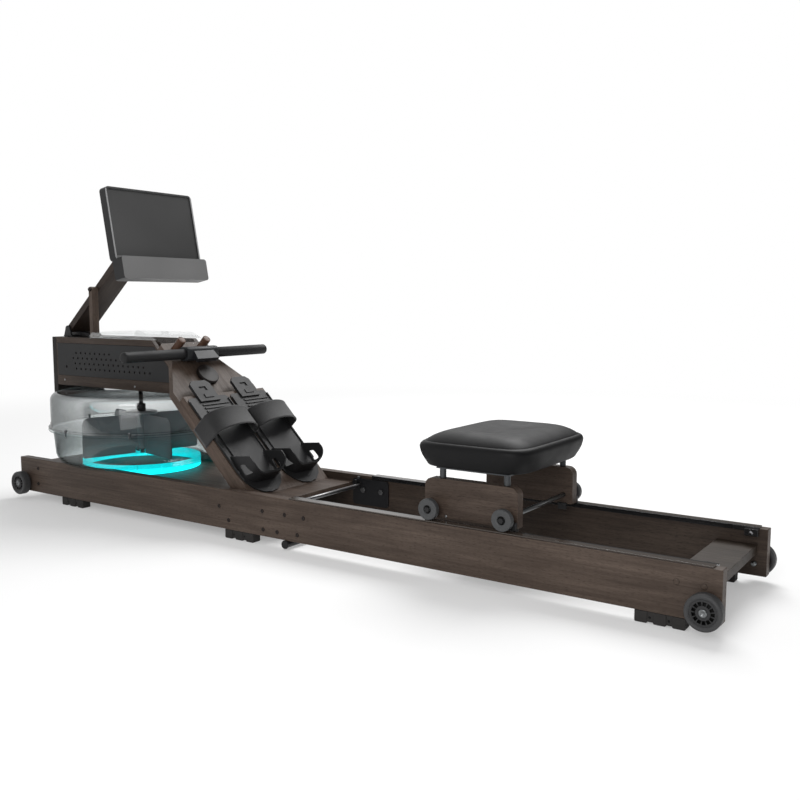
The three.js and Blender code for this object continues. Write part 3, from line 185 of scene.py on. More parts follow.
# Rails and boards: solid walnut planks, planed, stained dark and finished with satin lacquer. The
# grain runs along each plank, in streaks a few millimetres wide with darker figure and fine open
# pores.
streak_length = 0.16
streak_width = 0.0045
figure_length = streak_length / 0.6
figure_width = 0.045
pore_length = 0.012
pore_width = 0.0007
plank_edge = 0.0014
facing_share = 0.7


def mix(tree, factor, first, second):
    """A colour mixed from two."""
    inputs = {"Factor": factor, "A": first, "B": second}
    return node(tree, "Mix", inputs, data_type="RGBA").outputs[2]


def surface(tree, **inputs):
    """Ends a tree in one shader. An underscore in an input's name stands for a space."""
    named = {key.replace("_", " "): value for key, value in inputs.items()}
    node(tree, "OutputMaterial", {"Surface": node(tree, "BsdfPrincipled", named)})


def walnut(name, turn, dark="#2b211b", mid="#493d35", light="#5c4f46", roughness=0.5):
    """Lacquered dark walnut whose grain runs along X, turned about Y by an angle."""
    material, tree = blank_material(name)
    place = node(tree, "TexCoord").outputs["Object"]
    along = node(tree, "VectorRotate", {"Vector": place, "Angle": turn}, rotation_type="Y_AXIS")

    def drawn_noise(length, width, **inputs):
        """Noise drawn out along the grain."""
        scale = (1 / length, 1 / width, 1 / width)
        drawn = node(tree, "Mapping", {"Vector": along, "Scale": scale})
        return node(tree, "TexNoise", {"Vector": drawn, "Scale": 1.0, **inputs})

    figure = drawn_noise(figure_length, figure_width, Detail=3.0, Distortion=0.6)
    streak = drawn_noise(streak_length, streak_width, Detail=5.0, Roughness=0.6, Distortion=0.3)
    pore = drawn_noise(pore_length, pore_width, Detail=2.0)
    hole = ramp(tree, pore, 0.3, 0.44)
    body = mix(tree, ramp(tree, figure, 0.36, 0.66), mid, light)
    vein = maths(tree, "MULTIPLY", ramp(tree, streak, 0.36, 0.66), 0.42)
    colour = mix(tree, hole, dark, mix(tree, vein, body, dark))
    height = maths(tree, "ADD", streak, hole)
    bump = node(tree, "Bump", {"Height": height, "Strength": 0.12, "Distance": 0.0006})
    gloss = ramp(tree, streak, 0.3, 0.7, roughness - 0.06, roughness + 0.08)
    surface(tree, Base_Color=colour, Roughness=gloss, IOR=1.3, Normal=bump)
    return material


def round_edges(piece, width, segments=2, sharp=35):
    """A small bevel on a piece's sharp edges, so that they catch the light."""
    rounding = piece.modifiers.new("edge", "BEVEL")
    rounding.width = width
    rounding.segments = segments
    rounding.limit_method = "ANGLE"
    rounding.angle_limit = math.radians(sharp)
    rounding.harden_normals = True


def finish(name, material, edge, sharp=40):
    """Gives a carried-over node its material and a small rounded edge."""
    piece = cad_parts[name]
    piece.data.materials.clear()
    piece.data.materials.append(material)
    if "custom_normal" in piece.data.attributes:
        piece.data.attributes.remove(piece.data.attributes["custom_normal"])
    for face in piece.data.polygons:
        face.use_smooth = True
    weld = piece.modifiers.new("weld", "WELD")
    weld.merge_threshold = 0.00001
    round_edges(piece, edge, 2, sharp)
    return piece


lengthwise = walnut("lacquered walnut lengthwise", 0.0)
upright = walnut("lacquered walnut upright", math.pi / 2)
# A darker copy of the walnut for the rails' inner faces: painted shade for the shade between the
# rails.
shaded_inner_walnut = walnut("walnut inner face, painted shade", 0.0, "#1f1713", "#372d26", "#463b33")
rear_walnut = walnut("lacquered walnut rear board", 0.0, "#1c1511", "#30271f", "#3d332a")
sides = (("left", -1), ("right", 1))
for side, sign in sides:
    rail = finish(f"rail_{side}", lengthwise, plank_edge)
    # Faces turned inwards take the darker walnut: painted shade.
    rail.data.materials.append(shaded_inner_walnut)
    for face in rail.data.polygons:
        if (rail.matrix_world.to_3x3() @ face.normal).y * sign < -facing_share:
            face.material_index = 1
finish("base_board", lengthwise, plank_edge)
finish("rear_board", rear_walnut, plank_edge)


# Rail bolts: black socket-head cap screws let into the outer faces of the rails, in the pattern of
# the joint plates and the footboard's brackets. Turned and blackened. Behind, wooden plugs cover
# the screws, each in a dark ring that is painted shade for the groove round it.
bolt_places = (
    (-0.197, 0.078), (-0.165, 0.046), (-0.052, 0.084), (-0.050, 0.039), (0.019, 0.084),
    (0.077, 0.0835), (-0.005, 0.039), (0.058, 0.041), (-0.945, 0.094), (-0.946, 0.048),
)
plug_places = ((0.949, 0.088), (0.998, 0.087))
bolt_radius = 0.0052
bolt_rise = 0.0014
socket_radius = 0.0026
socket_depth = 0.001
plug_radius = 0.0054
groove_shade_width = 0.0005
sunk = 0.001


def mesh_piece(name, forms, material, body, slot, smooth=True):
    """A new mesh object of several forms, each with its points and faces. It rides on a body, if
    one is named. Its slot is not used."""
    points, faces = [], []
    for form_points, form_faces in forms:
        faces += [[len(points) + i for i in face] for face in form_faces]
        points += [tuple(point) for point in form_points]
    mesh = bpy.data.meshes.new(name)
    mesh.from_pydata(points, [], faces)
    mesh.validate()
    form = bmesh.new()
    form.from_mesh(mesh)
    bmesh.ops.recalc_face_normals(form, faces=form.faces)
    form.to_mesh(mesh)
    form.free()
    for face in mesh.polygons:
        face.use_smooth = smooth
    mesh.materials.append(material)
    piece = add_object(name, mesh)
    if body:
        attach(piece, body)
    return piece


def skin(rings, looped=False):
    """Points and faces of a skin through rings of points. A ring of one point closes its end. Any
    other end is capped, unless the last ring is looped to the first."""
    points, numbers = [], []
    for ring in rings:
        numbers.append(list(range(len(points), len(points) + len(ring))))
        points += ring
    first, last = numbers[0], numbers[-1]
    caps = [] if looped else [first, [last[0], *last[:0:-1]]]
    faces = [cap for cap in caps if len(cap) > 2]
    pairs = list(zip(numbers, numbers[1:])) + ([(last, first)] if looped else [])
    count = max(len(ring) for ring in rings)
    for low, high in pairs:
        for i in range(count):
            a, b = low[i % len(low)], low[(i + 1) % count % len(low)]
            c, d = high[(i + 1) % count % len(high)], high[i % len(high)]
            faces.append(list(dict.fromkeys((a, b, c, d))))
    return points, faces


def turned(profile, count, place):
    """Points and faces of a [radius, height] profile turned about Z, at a place."""
    rings = []
    for radius, height in profile:
        angles = [2 * math.pi * i / count for i in range(count if radius else 1)]
        ring = [(radius * math.cos(angle), radius * math.sin(angle), height) for angle in angles]
        rings.append([place @ Vector(point) for point in ring])
    return skin(rings, looped=len(rings[0]) > 1)


def turned_piece(name, profile, count, places, material, body, slot, smooth=True):
    """One piece of a turned profile, repeated at each place."""
    forms = [turned(profile, count, place) for place in places]
    return mesh_piece(name, forms, material, body, slot, smooth)


def cylinder(radius, start, end):
    """The profile of a plain cylinder between two heights."""
    return [(0, start), (radius, start), (radius, end), (0, end)]


def outward(spot, sign):
    """A place at a spot whose Z points along Y, towards one side."""
    turn = Vector((0, 0, 1)).rotation_difference(Vector((0, sign, 0)))
    return Matrix.Translation(spot) @ turn.to_matrix().to_4x4()


def tinted(colour, share):
    """A colour times a share, in linear values."""
    return [min(1.0, c * share) for c in linear(colour)[:3]] + [1.0]


def textured(name, colour, roughness, grit, depth, metallic=0.0, ior=1.35):
    """A plain-coloured finish with fine grit of a real size, slightly uneven in tone and gloss."""
    material, tree = blank_material(name)
    place = node(tree, "TexCoord").outputs["Object"]
    fine = node(tree, "TexNoise", {"Vector": place, "Scale": 1 / grit, "Detail": 3.0})
    broad = node(tree, "TexNoise", {"Vector": place, "Scale": 9.0, "Detail": 3.0})
    tone = mix(tree, broad, tinted(colour, 0.9), tinted(colour, 1.1))
    gloss = ramp(tree, broad, 0.3, 0.7, roughness * 0.88, roughness * 1.12)
    bump = node(tree, "Bump", {"Height": fine, "Strength": 0.35, "Distance": depth})
    surface(tree, Base_Color=tone, Roughness=gloss, Metallic=metallic, IOR=ior, Normal=bump)
    return material


blackened = textured("browned screw steel", "#2a2421", 0.4, 0.0012, 0.00008, metallic=0.5)
rail_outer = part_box("rail_right")[1].y
bolt_profile = [
    (0, -bolt_rise), (bolt_radius, -bolt_rise), (bolt_radius, bolt_rise * 0.5),
    (bolt_radius * 0.8, bolt_rise), (socket_radius, bolt_rise),
    (socket_radius, bolt_rise - socket_depth), (0, bolt_rise - socket_depth),
]
plug_profile = [(0, -sunk), (plug_radius, -sunk), (plug_radius, 0.0002)]
plug_profile += [(plug_radius - 0.0004, 0.0006), (0, 0.0007)]
# A dark ring just wider than each plug, sunk behind it: painted shade in the groove round the
# plug.
groove_shade_profile = cylinder(plug_radius + groove_shade_width, -sunk, 0.0001)
for side, sign in sides:
    bolts = [outward((x, sign * rail_outer, z), sign) for x, z in bolt_places]
    plugs = [outward((x, sign * rail_outer, z), sign) for x, z in plug_places]
    for name, profile, count, places, material, slot in (
        ("rail_bolts", bolt_profile, 20, bolts, blackened, "black_steel"),
        ("screw_plugs", plug_profile, 28, plugs, lengthwise, "walnut"),
        ("plug_groove_shades", groove_shade_profile, 28, plugs, blackened, "black_steel"),
    ):
        turned_piece(f"{name}_{side}", profile, count, places, material, "root", slot)


# Tracks and end stops: an extruded angle of hard black plastic over each rail's inner edge. It is
# polished by the rollers, so it mirrors the room at a low angle. Beyond a border on the rail's top
# it is brown.
track_border = 0.1600
track_roughness = 0.15
track_gloss, tree = blank_material("polished track plastic")
place = node(tree, "TexCoord").outputs["Object"]
across = node(tree, "SeparateXYZ", {"Vector": place}).outputs["Y"]
beyond = maths(tree, "GREATER_THAN", maths(tree, "ABSOLUTE", across), track_border)
colour = mix(tree, beyond, "#161617", "#3f3731")
broad = node(tree, "TexNoise", {"Vector": place, "Scale": 7.0, "Detail": 3.0})
gloss = ramp(tree, broad, 0.3, 0.7, track_roughness * 0.8, track_roughness * 1.3)
bump = node(tree, "Bump", {"Height": broad, "Strength": 0.1, "Distance": 0.0002})
surface(tree, Base_Color=colour, Roughness=gloss, IOR=1.52, Normal=bump)

zinc_screw = textured("zinc screw", "#8b8b8d", 0.35, 0.001, 0.00004, metallic=1.0)
screw_radius = 0.0042
stop_profile = [(0, 0), (screw_radius, 0), (screw_radius, 0.0008)]
stop_profile += [(screw_radius * 0.5, 0.0016), (0, 0.0018)]
stop_screw_in, stop_screw_up = 0.0135, 0.0068
for side, sign in sides:
    finish(f"track_{side}", track_gloss, 0.0006)
    low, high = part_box(f"track_{side}")
    inner = min(abs(low.y), abs(high.y))
    spot = outward((high.x - stop_screw_in, sign * inner, low.z + stop_screw_up), -sign)
    turned_piece(f"stop_screw_{side}", stop_profile, 16, [spot], zinc_screw, "root", "steel")


# Feet: moulded dark rubber blocks screwed under the rails. Each has three lobes joined by two webs
# that stand back from them a little, and on each web a near-black disc as painted shade for a
# moulding hole.
foot_rubber = textured("moulded matt rubber", "#2d2b2a", 0.72, 0.0009, 0.0001)
# Near-black finish of the discs that stand for the holes: painted shade.
hole_shade_black = textured("painted shade in moulding holes", "#0b0b0b", 0.8, 0.0009, 0.0001)
web_share = 0.115
web_rise = 0.003
web_back = 0.0014
web_lap = 0.002
foot_round = 0.003
lobe_edge = 0.0012
web_hole = 0.0023
web_hole_share = 0.42
web_hole_up = 0.0115


def arc(centre_x, centre_y, radius, start, end, steps=8):
    """Points of an arc in a plane, from one angle to another in degrees."""
    turns = [math.radians(start + (end - start) * i / steps) for i in range(steps + 1)]
    return [(centre_x + radius * math.cos(t), centre_y + radius * math.sin(t)) for t in turns]


def plate(outline, thickness, place, round_edge=0.0, holes=()):
    """Points and faces of a flat plate with real holes and rounded edges. Its mid plane lies at a
    place."""
    curve = bpy.data.curves.new("plate", "CURVE")
    curve.dimensions = "2D"
    curve.fill_mode = "BOTH"
    curve.extrude = thickness / 2 - round_edge
    curve.bevel_depth = round_edge
    curve.offset = -round_edge
    curve.bevel_resolution = 1
    for ring in (outline, *holes):
        spline = curve.splines.new("POLY")
        spline.points.add(len(ring) - 1)
        for point, (x, y) in zip(spline.points, ring):
            point.co = (x, y, 0, 1)
        spline.use_cyclic_u = True
    holder = add_object("plate", curve)
    bpy.context.view_layer.update()
    solid = holder.evaluated_get(bpy.context.evaluated_depsgraph_get())
    mesh = bpy.data.meshes.new_from_object(solid)
    form = bmesh.new()
    form.from_mesh(mesh)
    bmesh.ops.remove_doubles(form, verts=form.verts, dist=0.00001)
    points = [place @ v.co for v in form.verts]
    form.verts.index_update()
    faces = [[v.index for v in face.verts] for face in form.faces]
    form.free()
    bpy.data.objects.remove(holder)
    bpy.data.curves.remove(curve)
    bpy.data.meshes.remove(mesh)
    return points, faces


stand = Matrix.Rotation(math.pi / 2, 4, "X")


def upright_plate(outline, thickness, y, round_edge=0.0, holes=()):
    """A plate whose outline is given in X and Z, standing at a Y."""
    return plate(outline, thickness, Matrix.Translation((0, y, 0)) @ stand, round_edge, holes)


for name in [f"foot_{end}_{side}" for end in ("front", "middle", "rear") for side, _ in sides]:
    low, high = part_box(name)
    middle = (low.y + high.y) / 2
    width = high.y - low.y
    web = (high.x - low.x) * web_share
    lobe = (high.x - low.x - 2 * web) / 3
    round_z = low.z + foot_round
    forms = []
    holes = []
    for i in range(3):
        start = low.x + i * (lobe + web)
        stop = start + lobe
        outline = [(start, high.z), *arc(start + foot_round, round_z, foot_round, 180, 270, 3)]
        outline += [*arc(stop - foot_round, round_z, foot_round, 270, 360, 3), (stop, high.z)]
        forms.append(upright_plate(outline[::-1], width, middle, lobe_edge))
        if i < 2:
            first, last, bottom = stop - web_lap, stop + web + web_lap, low.z + web_rise
            ends = [(first, bottom), (last, bottom), (last, high.z), (first, high.z)]
            forms.append(upright_plate(ends, width - 2 * web_back, middle))
            for face in (-1, 1):
                y = middle + face * (width / 2 - web_back)
                spot = outward((stop + web * web_hole_share, y, low.z + web_hole_up), face)
                # A near-black disc on each web face: painted shade for a moulding hole.
                holes.append(turned(cylinder(web_hole, -0.002, 0.0001), 16, spot))
    foot = mesh_piece(name + "_lobes", forms, foot_rubber, "root", "rubber_foot", smooth=False)
    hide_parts(name)
    mesh_piece(name + "_holes", holes, hole_shade_black, "root", "rubber_foot")


# Transport wheels: a grey moulded tyre on a hub with a ring of slots, held by a bolt through the
# rail. The tyre is smooth and a little lighter than the web behind the slots, whose near-black is
# painted shade.
tyre_grey = textured("grey moulded tyre", "#3d3d3e", 0.5, 0.0008, 0.00006)
hub_grey = textured("grey moulded hub", "#2c2c2d", 0.42, 0.0008, 0.00005)
# Near-black for painted shade: the web seen through the wheel slots, and the floors of the
# rollers' wells.
painted_shade_black = textured("near-black web and well floors, painted shade", "#0b0b0b", 0.7, 0.001, 0.0001)
bolt_steel = textured("zinc wheel bolt", "#77797a", 0.3, 0.001, 0.00004, metallic=1.0)
wheel_width = 0.0235
wheel_slots = 13
slot_length = 0.0072
slot_width = 0.0056
slot_flare = 1.3
slot_ring = 0.0168
face_drop = 0.0022
wheel_back = 0.0015


def circle(radius, count, x=0.0, y=0.0):
    """Points of a circle in a plane."""
    return arc(x, y, radius, 0, 360, count)[:-1]


def wheel_forms(radius, place):
    """The tyre, the slotted hub plate, the web behind it and the bolt head of one wheel."""
    tread = radius * 0.13
    top = wheel_width - face_drop
    tyre = [
        (radius * 0.73, wheel_back),
        *arc(radius - tread, tread, tread, -90, 0, 6),
        *arc(radius - tread, wheel_width - tread, tread, 0, 90, 6),
        (radius * 0.79, wheel_width - 0.0004), (radius * 0.765, top), (radius * 0.73, top),
    ]
    x, y = slot_length / 2, slot_width / 2
    corners = [(-x, -y), (x, -y * slot_flare), (x, y * slot_flare), (-x, y)]
    slots = []
    for i in range(wheel_slots):
        turn = Matrix.Rotation(2 * math.pi * i / wheel_slots, 2)
        slots.append([turn @ Vector((slot_ring + a, b)) for a, b in corners])
    hub_place = place @ Matrix.Translation((0, 0, top - 0.0015))
    hub = plate(circle(radius * 0.75, 64), 0.003, hub_place, 0.0003, slots)
    web = turned(cylinder(radius * 0.74, wheel_back, top - 0.006), 48, place)
    head = [
        (0, top - 0.0005), (0.0078, top - 0.0005), (0.0078, top + 0.0006), (0.0068, top + 0.0016),
        (0.0042, top + 0.0018), (0.0034, top + 0.0004), (0, top + 0.0004),
    ]
    return turned(tyre, 72, place), hub, web, turned(head, 28, place)


tail = [(0, 0), (0.005, 0), (0.005, 0.034), (0.009, 0.0345), (0.009, 0.0405), (0, 0.0405)]
for end in ("front", "rear"):
    for side, sign in sides:
        name = f"wheel_{end}_{side}"
        low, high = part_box(name)
        x, z = (low.x + high.x) / 2, (low.z + high.z) / 2
        inner, outer = (low.y, high.y) if sign > 0 else (high.y, low.y)
        place = outward((x, outer - sign * wheel_width, z), sign)
        tyre_form, hub_form, web_form, head = wheel_forms((high.z - low.z) / 2, place)
        bolt = [head, turned(tail, 20, outward((x, inner, z), sign))]
        tyre = mesh_piece(name + "_tyre", [tyre_form], tyre_grey, name, "wheel_rubber")
        mesh_piece(name + "_hub", [hub_form], hub_grey, name, "wheel_rubber", smooth=False)
        mesh_piece(name + "_web", [web_form], painted_shade_black, name, "wheel_rubber")
        mesh_piece(name + "_bolt", bolt, bolt_steel, name, "black_steel")
        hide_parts(name)


# Joint plates, rod and cross tube: powder-coated steel plates on the rails' inner faces with zinc
# nuts, a bright steel rod between them, and a black tube under the rails.
powder_coat = textured("black powder coat", "#18181a", 0.42, 0.0007, 0.00008)
bright_steel = textured("brushed steel rod", "#818182", 0.38, 0.002, 0.00003, metallic=1.0)
nut_steel = textured("dull zinc nut", "#5c5c5d", 0.42, 0.0012, 0.00005, metallic=0.9)
plate_thickness = 0.004
nut_places = ((0.004, 0.0845, 0.0078), (0.062, 0.0845, 0.0078), (-0.0105, 0.1165, 0.0042))
for side, sign in sides:
    finish(f"joint_plate_{side}", powder_coat, 0.0008)
finish("under_tube", powder_coat, 0.0008)
plate_inner = -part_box("joint_plate_left")[0].y - plate_thickness
for side, sign in sides:
    nuts = []
    for x, z, radius in nut_places:
        nut = [(0, -sunk), (radius, -sunk), (radius, 0.0042), (radius * 0.8, 0.0056), (0, 0.0056)]
        nuts.append(turned(nut, 6, outward((x, sign * plate_inner, z), -sign)))
    piece = mesh_piece(f"plate_nuts_{side}", nuts, nut_steel, "root", "steel", smooth=False)
    round_edges(piece, 0.0004)
low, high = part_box("joint_rod")
rod_profile = cylinder((high.z - low.z) / 2, 0, high.y - low.y)
place = outward(((low.x + high.x) / 2, low.y, (low.z + high.z) / 2), 1)
rod = turned_piece("steel_rod", rod_profile, 28, [place], bright_steel, "root", "steel")
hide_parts("joint_rod")


# Light ring: a strip of cyan light behind a milky diffuser, set in the base board under the tank.
# Fine dark seams show where its segments meet.
ring_segments = 16
ring_seam = 0.0011
ring_depth = 0.003
segment_steps = 10
glow, tree = blank_material("lit cyan diffuser")
light_colour = {"Emission_Color": "#12f4fb", "Emission_Strength": 1.5}
surface(tree, Base_Color="#12c9d2", Roughness=0.35, **light_colour)
tank_low, tank_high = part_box("tank_lower")
tank_x = (tank_low.x + tank_high.x) / 2
low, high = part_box("light_ring")
outer = (high.x - low.x) / 2
inner = outer - ring_depth
span = 2 * math.pi / ring_segments
gap = ring_seam / outer
segments = []
for k in range(ring_segments):
    rings = []
    for i in range(segment_steps + 1):
        angle = k * span + gap / 2 + (span - gap) * i / segment_steps
        c, s = math.cos(angle), math.sin(angle)
        corners = ((inner, low.z), (outer, low.z), (outer, high.z), (inner, high.z))
        rings.append([Vector((tank_x + radius * c, radius * s, z)) for radius, z in corners])
    segments.append(skin(rings))
ring = mesh_piece("light_ring_segments", segments, glow, "root", "light_plastic", smooth=False)
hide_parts("light_ring")


# Tank: two vacuum-formed shells of clear polycarbonate, clamped at a flange with small screws. The
# lower one stands on the rails, and the upper one has a rounded shoulder and a boss for the
# shaft's bearing.
def clear(name, tint, edge_tint, gloss_share, level_share=0.12):
    """Thin clear sheet: it lets light straight through, darkens where seen edge-on, and mirrors a
    little. Level faces are seen at such a low angle that they take only a share of both."""
    material, tree = blank_material(name)
    place = node(tree, "TexCoord").outputs["Object"]
    wave = node(tree, "TexNoise", {"Vector": place, "Scale": 14.0, "Detail": 1.0})
    bump = node(tree, "Bump", {"Height": wave, "Strength": 0.1, "Distance": 0.002})
    slant = node(tree, "LayerWeight", {"Blend": 0.35}).outputs
    lie = node(tree, "SeparateXYZ", {"Vector": node(tree, "NewGeometry").outputs["Normal"]})
    level = maths(tree, "ABSOLUTE", lie.outputs["Z"])
    upright_share = ramp(tree, level, 0.3, 0.95, 1.0, level_share)
    edge_on = maths(tree, "MULTIPLY", slant["Facing"], upright_share)
    through = mix(tree, edge_on, tint, edge_tint)
    passed = node(tree, "BsdfTransparent", {"Color": through})
    mirror = node(tree, "BsdfGlossy", {"Color": "#ffffff", "Roughness": 0.04, "Normal": bump})
    most = maths(tree, "MULTIPLY", slant["Fresnel"], gloss_share)
    amount = maths(tree, "MULTIPLY", most, upright_share)
    mixed = node(tree, "MixShader", {0: amount, 1: passed, 2: mirror})
    node(tree, "OutputMaterial", {"Surface": mixed})
    return material


lower_clear = clear("clear polycarbonate base", "#f5f8f8", "#868b8c", 0.17)
upper_clear = clear("clear polycarbonate lid", "#fafbfb", "#8d9293", 0.44, 1.2)
shell_wall = 0.0035
shell_sides = 128
flange_radius = (tank_high.x - tank_low.x) / 2
lower_z, flange_z = tank_low.z, tank_high.z
flat_radius = 0.200
recess_radius = 0.176
recess_rise = 0.0095
top_radius = 0.244
flange_lip = 0.006
lip_half = flange_lip / 2
fillet = 0.2395 - flat_radius
cup_floor = lower_z + recess_rise + shell_wall
cup_top = cup_floor + 0.0135
lower_profile = [
    (0, lower_z + recess_rise), (recess_radius, lower_z + recess_rise),
    (recess_radius + 0.002, lower_z),
    *arc(flat_radius, lower_z + fillet, fillet, -90, 0),
    (top_radius, flange_z - flange_lip - 0.003), (top_radius + 0.003, flange_z - flange_lip),
    *arc(flange_radius - lip_half, flange_z - lip_half, lip_half, -90, 90, 6),
    (top_radius - shell_wall, flange_z),
    *arc(flat_radius, lower_z + fillet, fillet - shell_wall, 0, -90),
    (recess_radius + 0.005, lower_z + shell_wall), (recess_radius + 0.002, cup_floor),
    (0.02, cup_floor), (0.018, cup_top), (0.0064, cup_top),
    (0.0064, cup_floor + 0.004), (0, cup_floor + 0.004),
]
axis = [Matrix.Translation((tank_x, 0, 0))]
shell_look = (lower_clear, "root", "clear_plastic")
shell = turned_piece("tank_lower_shell", lower_profile, shell_sides, axis, *shell_look)
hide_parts("tank_lower")

upper_low, upper_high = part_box("tank_upper")
upper_radius = 0.250
shoulder = 0.022
shoulder_radius = upper_radius - shoulder
boss_radius = 0.040
bearing_radius = 0.0063
crown_z = upper_high.z - 0.0064
upper_profile = [
    (upper_radius - shell_wall, upper_low.z),
    *arc(flange_radius - lip_half, upper_low.z + lip_half, lip_half, -90, 90, 6),
    (upper_radius + 0.003, upper_low.z + flange_lip),
    (upper_radius, upper_low.z + flange_lip + 0.003),
    *arc(shoulder_radius, crown_z - shoulder, shoulder, 0, 90),
    (boss_radius + 0.003, crown_z), (boss_radius, crown_z + 0.003), (boss_radius, upper_high.z),
    (bearing_radius, upper_high.z), (bearing_radius, crown_z - shell_wall),
    *arc(shoulder_radius, crown_z - shoulder, shoulder - shell_wall, 90, 0),
]
shell_look = (upper_clear, "root", "clear_plastic")
shell = turned_piece("tank_upper_shell", upper_profile, shell_sides, axis, *shell_look)
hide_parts("tank_upper")

clamp_screws = 8
screw_ring = 0.2535
first_screw = -0.045
screw_profile = [(0, -0.0145), (0.0028, -0.0145), (0.0028, -0.0005), (0.0044, 0), (0.0044, 0.002)]
screw_profile += [(0.003, 0.0034), (0, 0.0034)]
places = []
for i in range(clamp_screws):
    angle = 2 * math.pi * (i + first_screw) / clamp_screws
    x, y = screw_ring * math.cos(angle), screw_ring * math.sin(angle)
    places.append(Matrix.Translation((tank_x + x, y, upper_low.z + flange_lip)))
turned_piece("tank_screws", screw_profile, 16, places, zinc_screw, "root", "steel")


# Impeller: four wide paddles of grey moulded plastic, notched round the cup, on a hub plate and a
# steel shaft with a black coupling. The water it turns in is left out, as the tank looks empty.
paddle_grey = textured("grey moulded paddle plastic", "#74777a", 0.3, 0.001, 0.00006)
coupling_black = textured("black coupling steel", "#222223", 0.34, 0.001, 0.00005, metallic=0.6)
low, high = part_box("impeller")
paddle_count = 4
paddle_turn = math.radians(76)
paddle_radius = 0.180
paddle_low, paddle_high = 0.142, 0.257
cup_clear = 0.158
cup_side = 0.022
paddle_thickness = 0.005
paddle_corner = 0.022
paddle_edge = 0.0012
hub_top = paddle_high + 0.008
outline = [(0.0, cup_clear), (cup_side, cup_clear), (cup_side, paddle_low)]
outline += [(paddle_radius - 0.004, paddle_low), (paddle_radius, paddle_low + 0.004)]
outline += arc(paddle_radius - paddle_corner, paddle_high - paddle_corner, paddle_corner, 0, 90)
outline += [(0.0, paddle_high)]
forms = []
for i in range(paddle_count):
    turn = Matrix.Rotation(paddle_turn + 2 * math.pi * i / paddle_count, 4, "Z")
    forms.append(plate(outline, paddle_thickness, axis[0] @ turn @ stand, paddle_edge))
hub_profile = [
    (0, low.z), (0.006, low.z), (0.006, cup_clear - 0.006), (0.016, cup_clear - 0.006),
    (0.0175, cup_clear), (0.0165, paddle_high), (0.046, paddle_high),
    (0.046, paddle_high + 0.006), (0.044, hub_top), (0, hub_top),
]
forms.append(turned(hub_profile, 48, axis[0]))
impeller = mesh_piece("impeller_paddles", forms, paddle_grey, "impeller", "grey_plastic")
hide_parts("impeller")
coupling = [
    (0, hub_top), (0.013, hub_top), (0.013, hub_top + 0.020), (0.011, hub_top + 0.022),
    (0.006, hub_top + 0.022), (0.006, high.z), (0, high.z),
]
coupling_look = (coupling_black, "impeller", "grey_plastic")
turned_piece("impeller_coupling", coupling, 32, axis, *coupling_look)


# Strap drum: a black moulded spool on the shaft inside the box frame, with the first turn of
# webbing on it, and the webbing that runs from it through the footboard to the handle.
moulded_black = textured("fine-grained black plastic", "#262627", 0.48, 0.0007, 0.00009)
low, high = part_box("strap_drum")
drum_radius = (high.x - low.x) / 2
drum_bore = 0.0065
drum_core = 0.0278
drum_profile = [
    (drum_bore, low.z), (drum_radius, low.z), (drum_radius, low.z + 0.002),
    (drum_core, low.z + 0.003), (drum_core, high.z - 0.003), (drum_radius, high.z - 0.002),
    (drum_radius, high.z), (drum_bore, high.z),
]
drum = turned_piece("spool", drum_profile, 64, axis, moulded_black, "drum", "black_plastic")
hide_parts("strap_drum")


# Box frame: walnut side planks with perforated black metal panels let in, an end board that is
# joined to the front deck, and a floor board. Round-head screws hold the side planks.
# The frame's walnut is a darker copy of the rails' walnut, and the end board's is darker still:
# painted shade for the lower light at the frame.
shaded_frame_wood = walnut("walnut frame, painted shade", 0.0, "#231a15", "#3c312a", "#4b3f37")
shaded_end_wood = walnut("walnut end board, painted shade", math.pi / 2, "#0f0c0a", "#191411", "#201a17")
panel_black = textured("satin black sheet metal", "#232324", 0.42, 0.0009, 0.00005, ior=1.3)
for side, sign in sides:
    finish(f"frame_side_{side}", shaded_frame_wood, plank_edge)
finish("frame_end", shaded_end_wood, plank_edge)
finish("frame_floor", shaded_frame_wood, plank_edge)
dot_pitch = 0.0216
dot_radius = 0.0033
dot_rows = (
    (0.3865, -0.880, -0.556), (0.4020, -0.885, -0.574), (0.4175, -0.894, -0.640),
    (0.4330, -0.880, -0.728),
)
corner_hole, corner_hole_in, corner_hole_up = 0.004, 0.0415, 0.026
frame_screw_places = ((-0.938, 0.351), (-0.621, 0.346))
frame_screw = [(0, -sunk), (0.0034, -sunk), (0.0034, 0.0006), (0.002, 0.0013), (0, 0.0014)]
for side, sign in sides:
    name = f"frame_panel_{side}"
    low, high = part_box(name)
    slope_back = high.x - (high.z - low.z)
    outline = [(low.x, low.z), (high.x, low.z), (slope_back, high.z), (low.x, high.z)]
    holes = [circle(corner_hole, 12, low.x + corner_hole_in, low.z + corner_hole_up)]
    for z, first, last in dot_rows:
        count = round((last - first) / dot_pitch)
        holes += [circle(dot_radius, 10, first + i * dot_pitch, z) for i in range(count + 1)]
    form = upright_plate(outline, high.y - low.y, (low.y + high.y) / 2, 0.0, holes)
    panel_look = (panel_black, "root", "black_plastic")
    panel = mesh_piece(f"perforated_panel_{side}", [form], *panel_look, smooth=False)
    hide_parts(name)
    low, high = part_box(f"frame_side_{side}")
    outer = high.y if sign > 0 else low.y
    places = [outward((x, outer, z), sign) for x, z in frame_screw_places]
    turned_piece(f"frame_screws_{side}", frame_screw, 16, places, zinc_screw, "root", "steel")


# Clear cover: a shallow tray of thin clear plastic on the frame, whose rear runs down over the
# footboard. Its rims are polished and look white at a low angle.
finish("clear_cover", clear("thin clear cover plastic", "#ffffff", "#eceeee", 0.25), 0.0006)


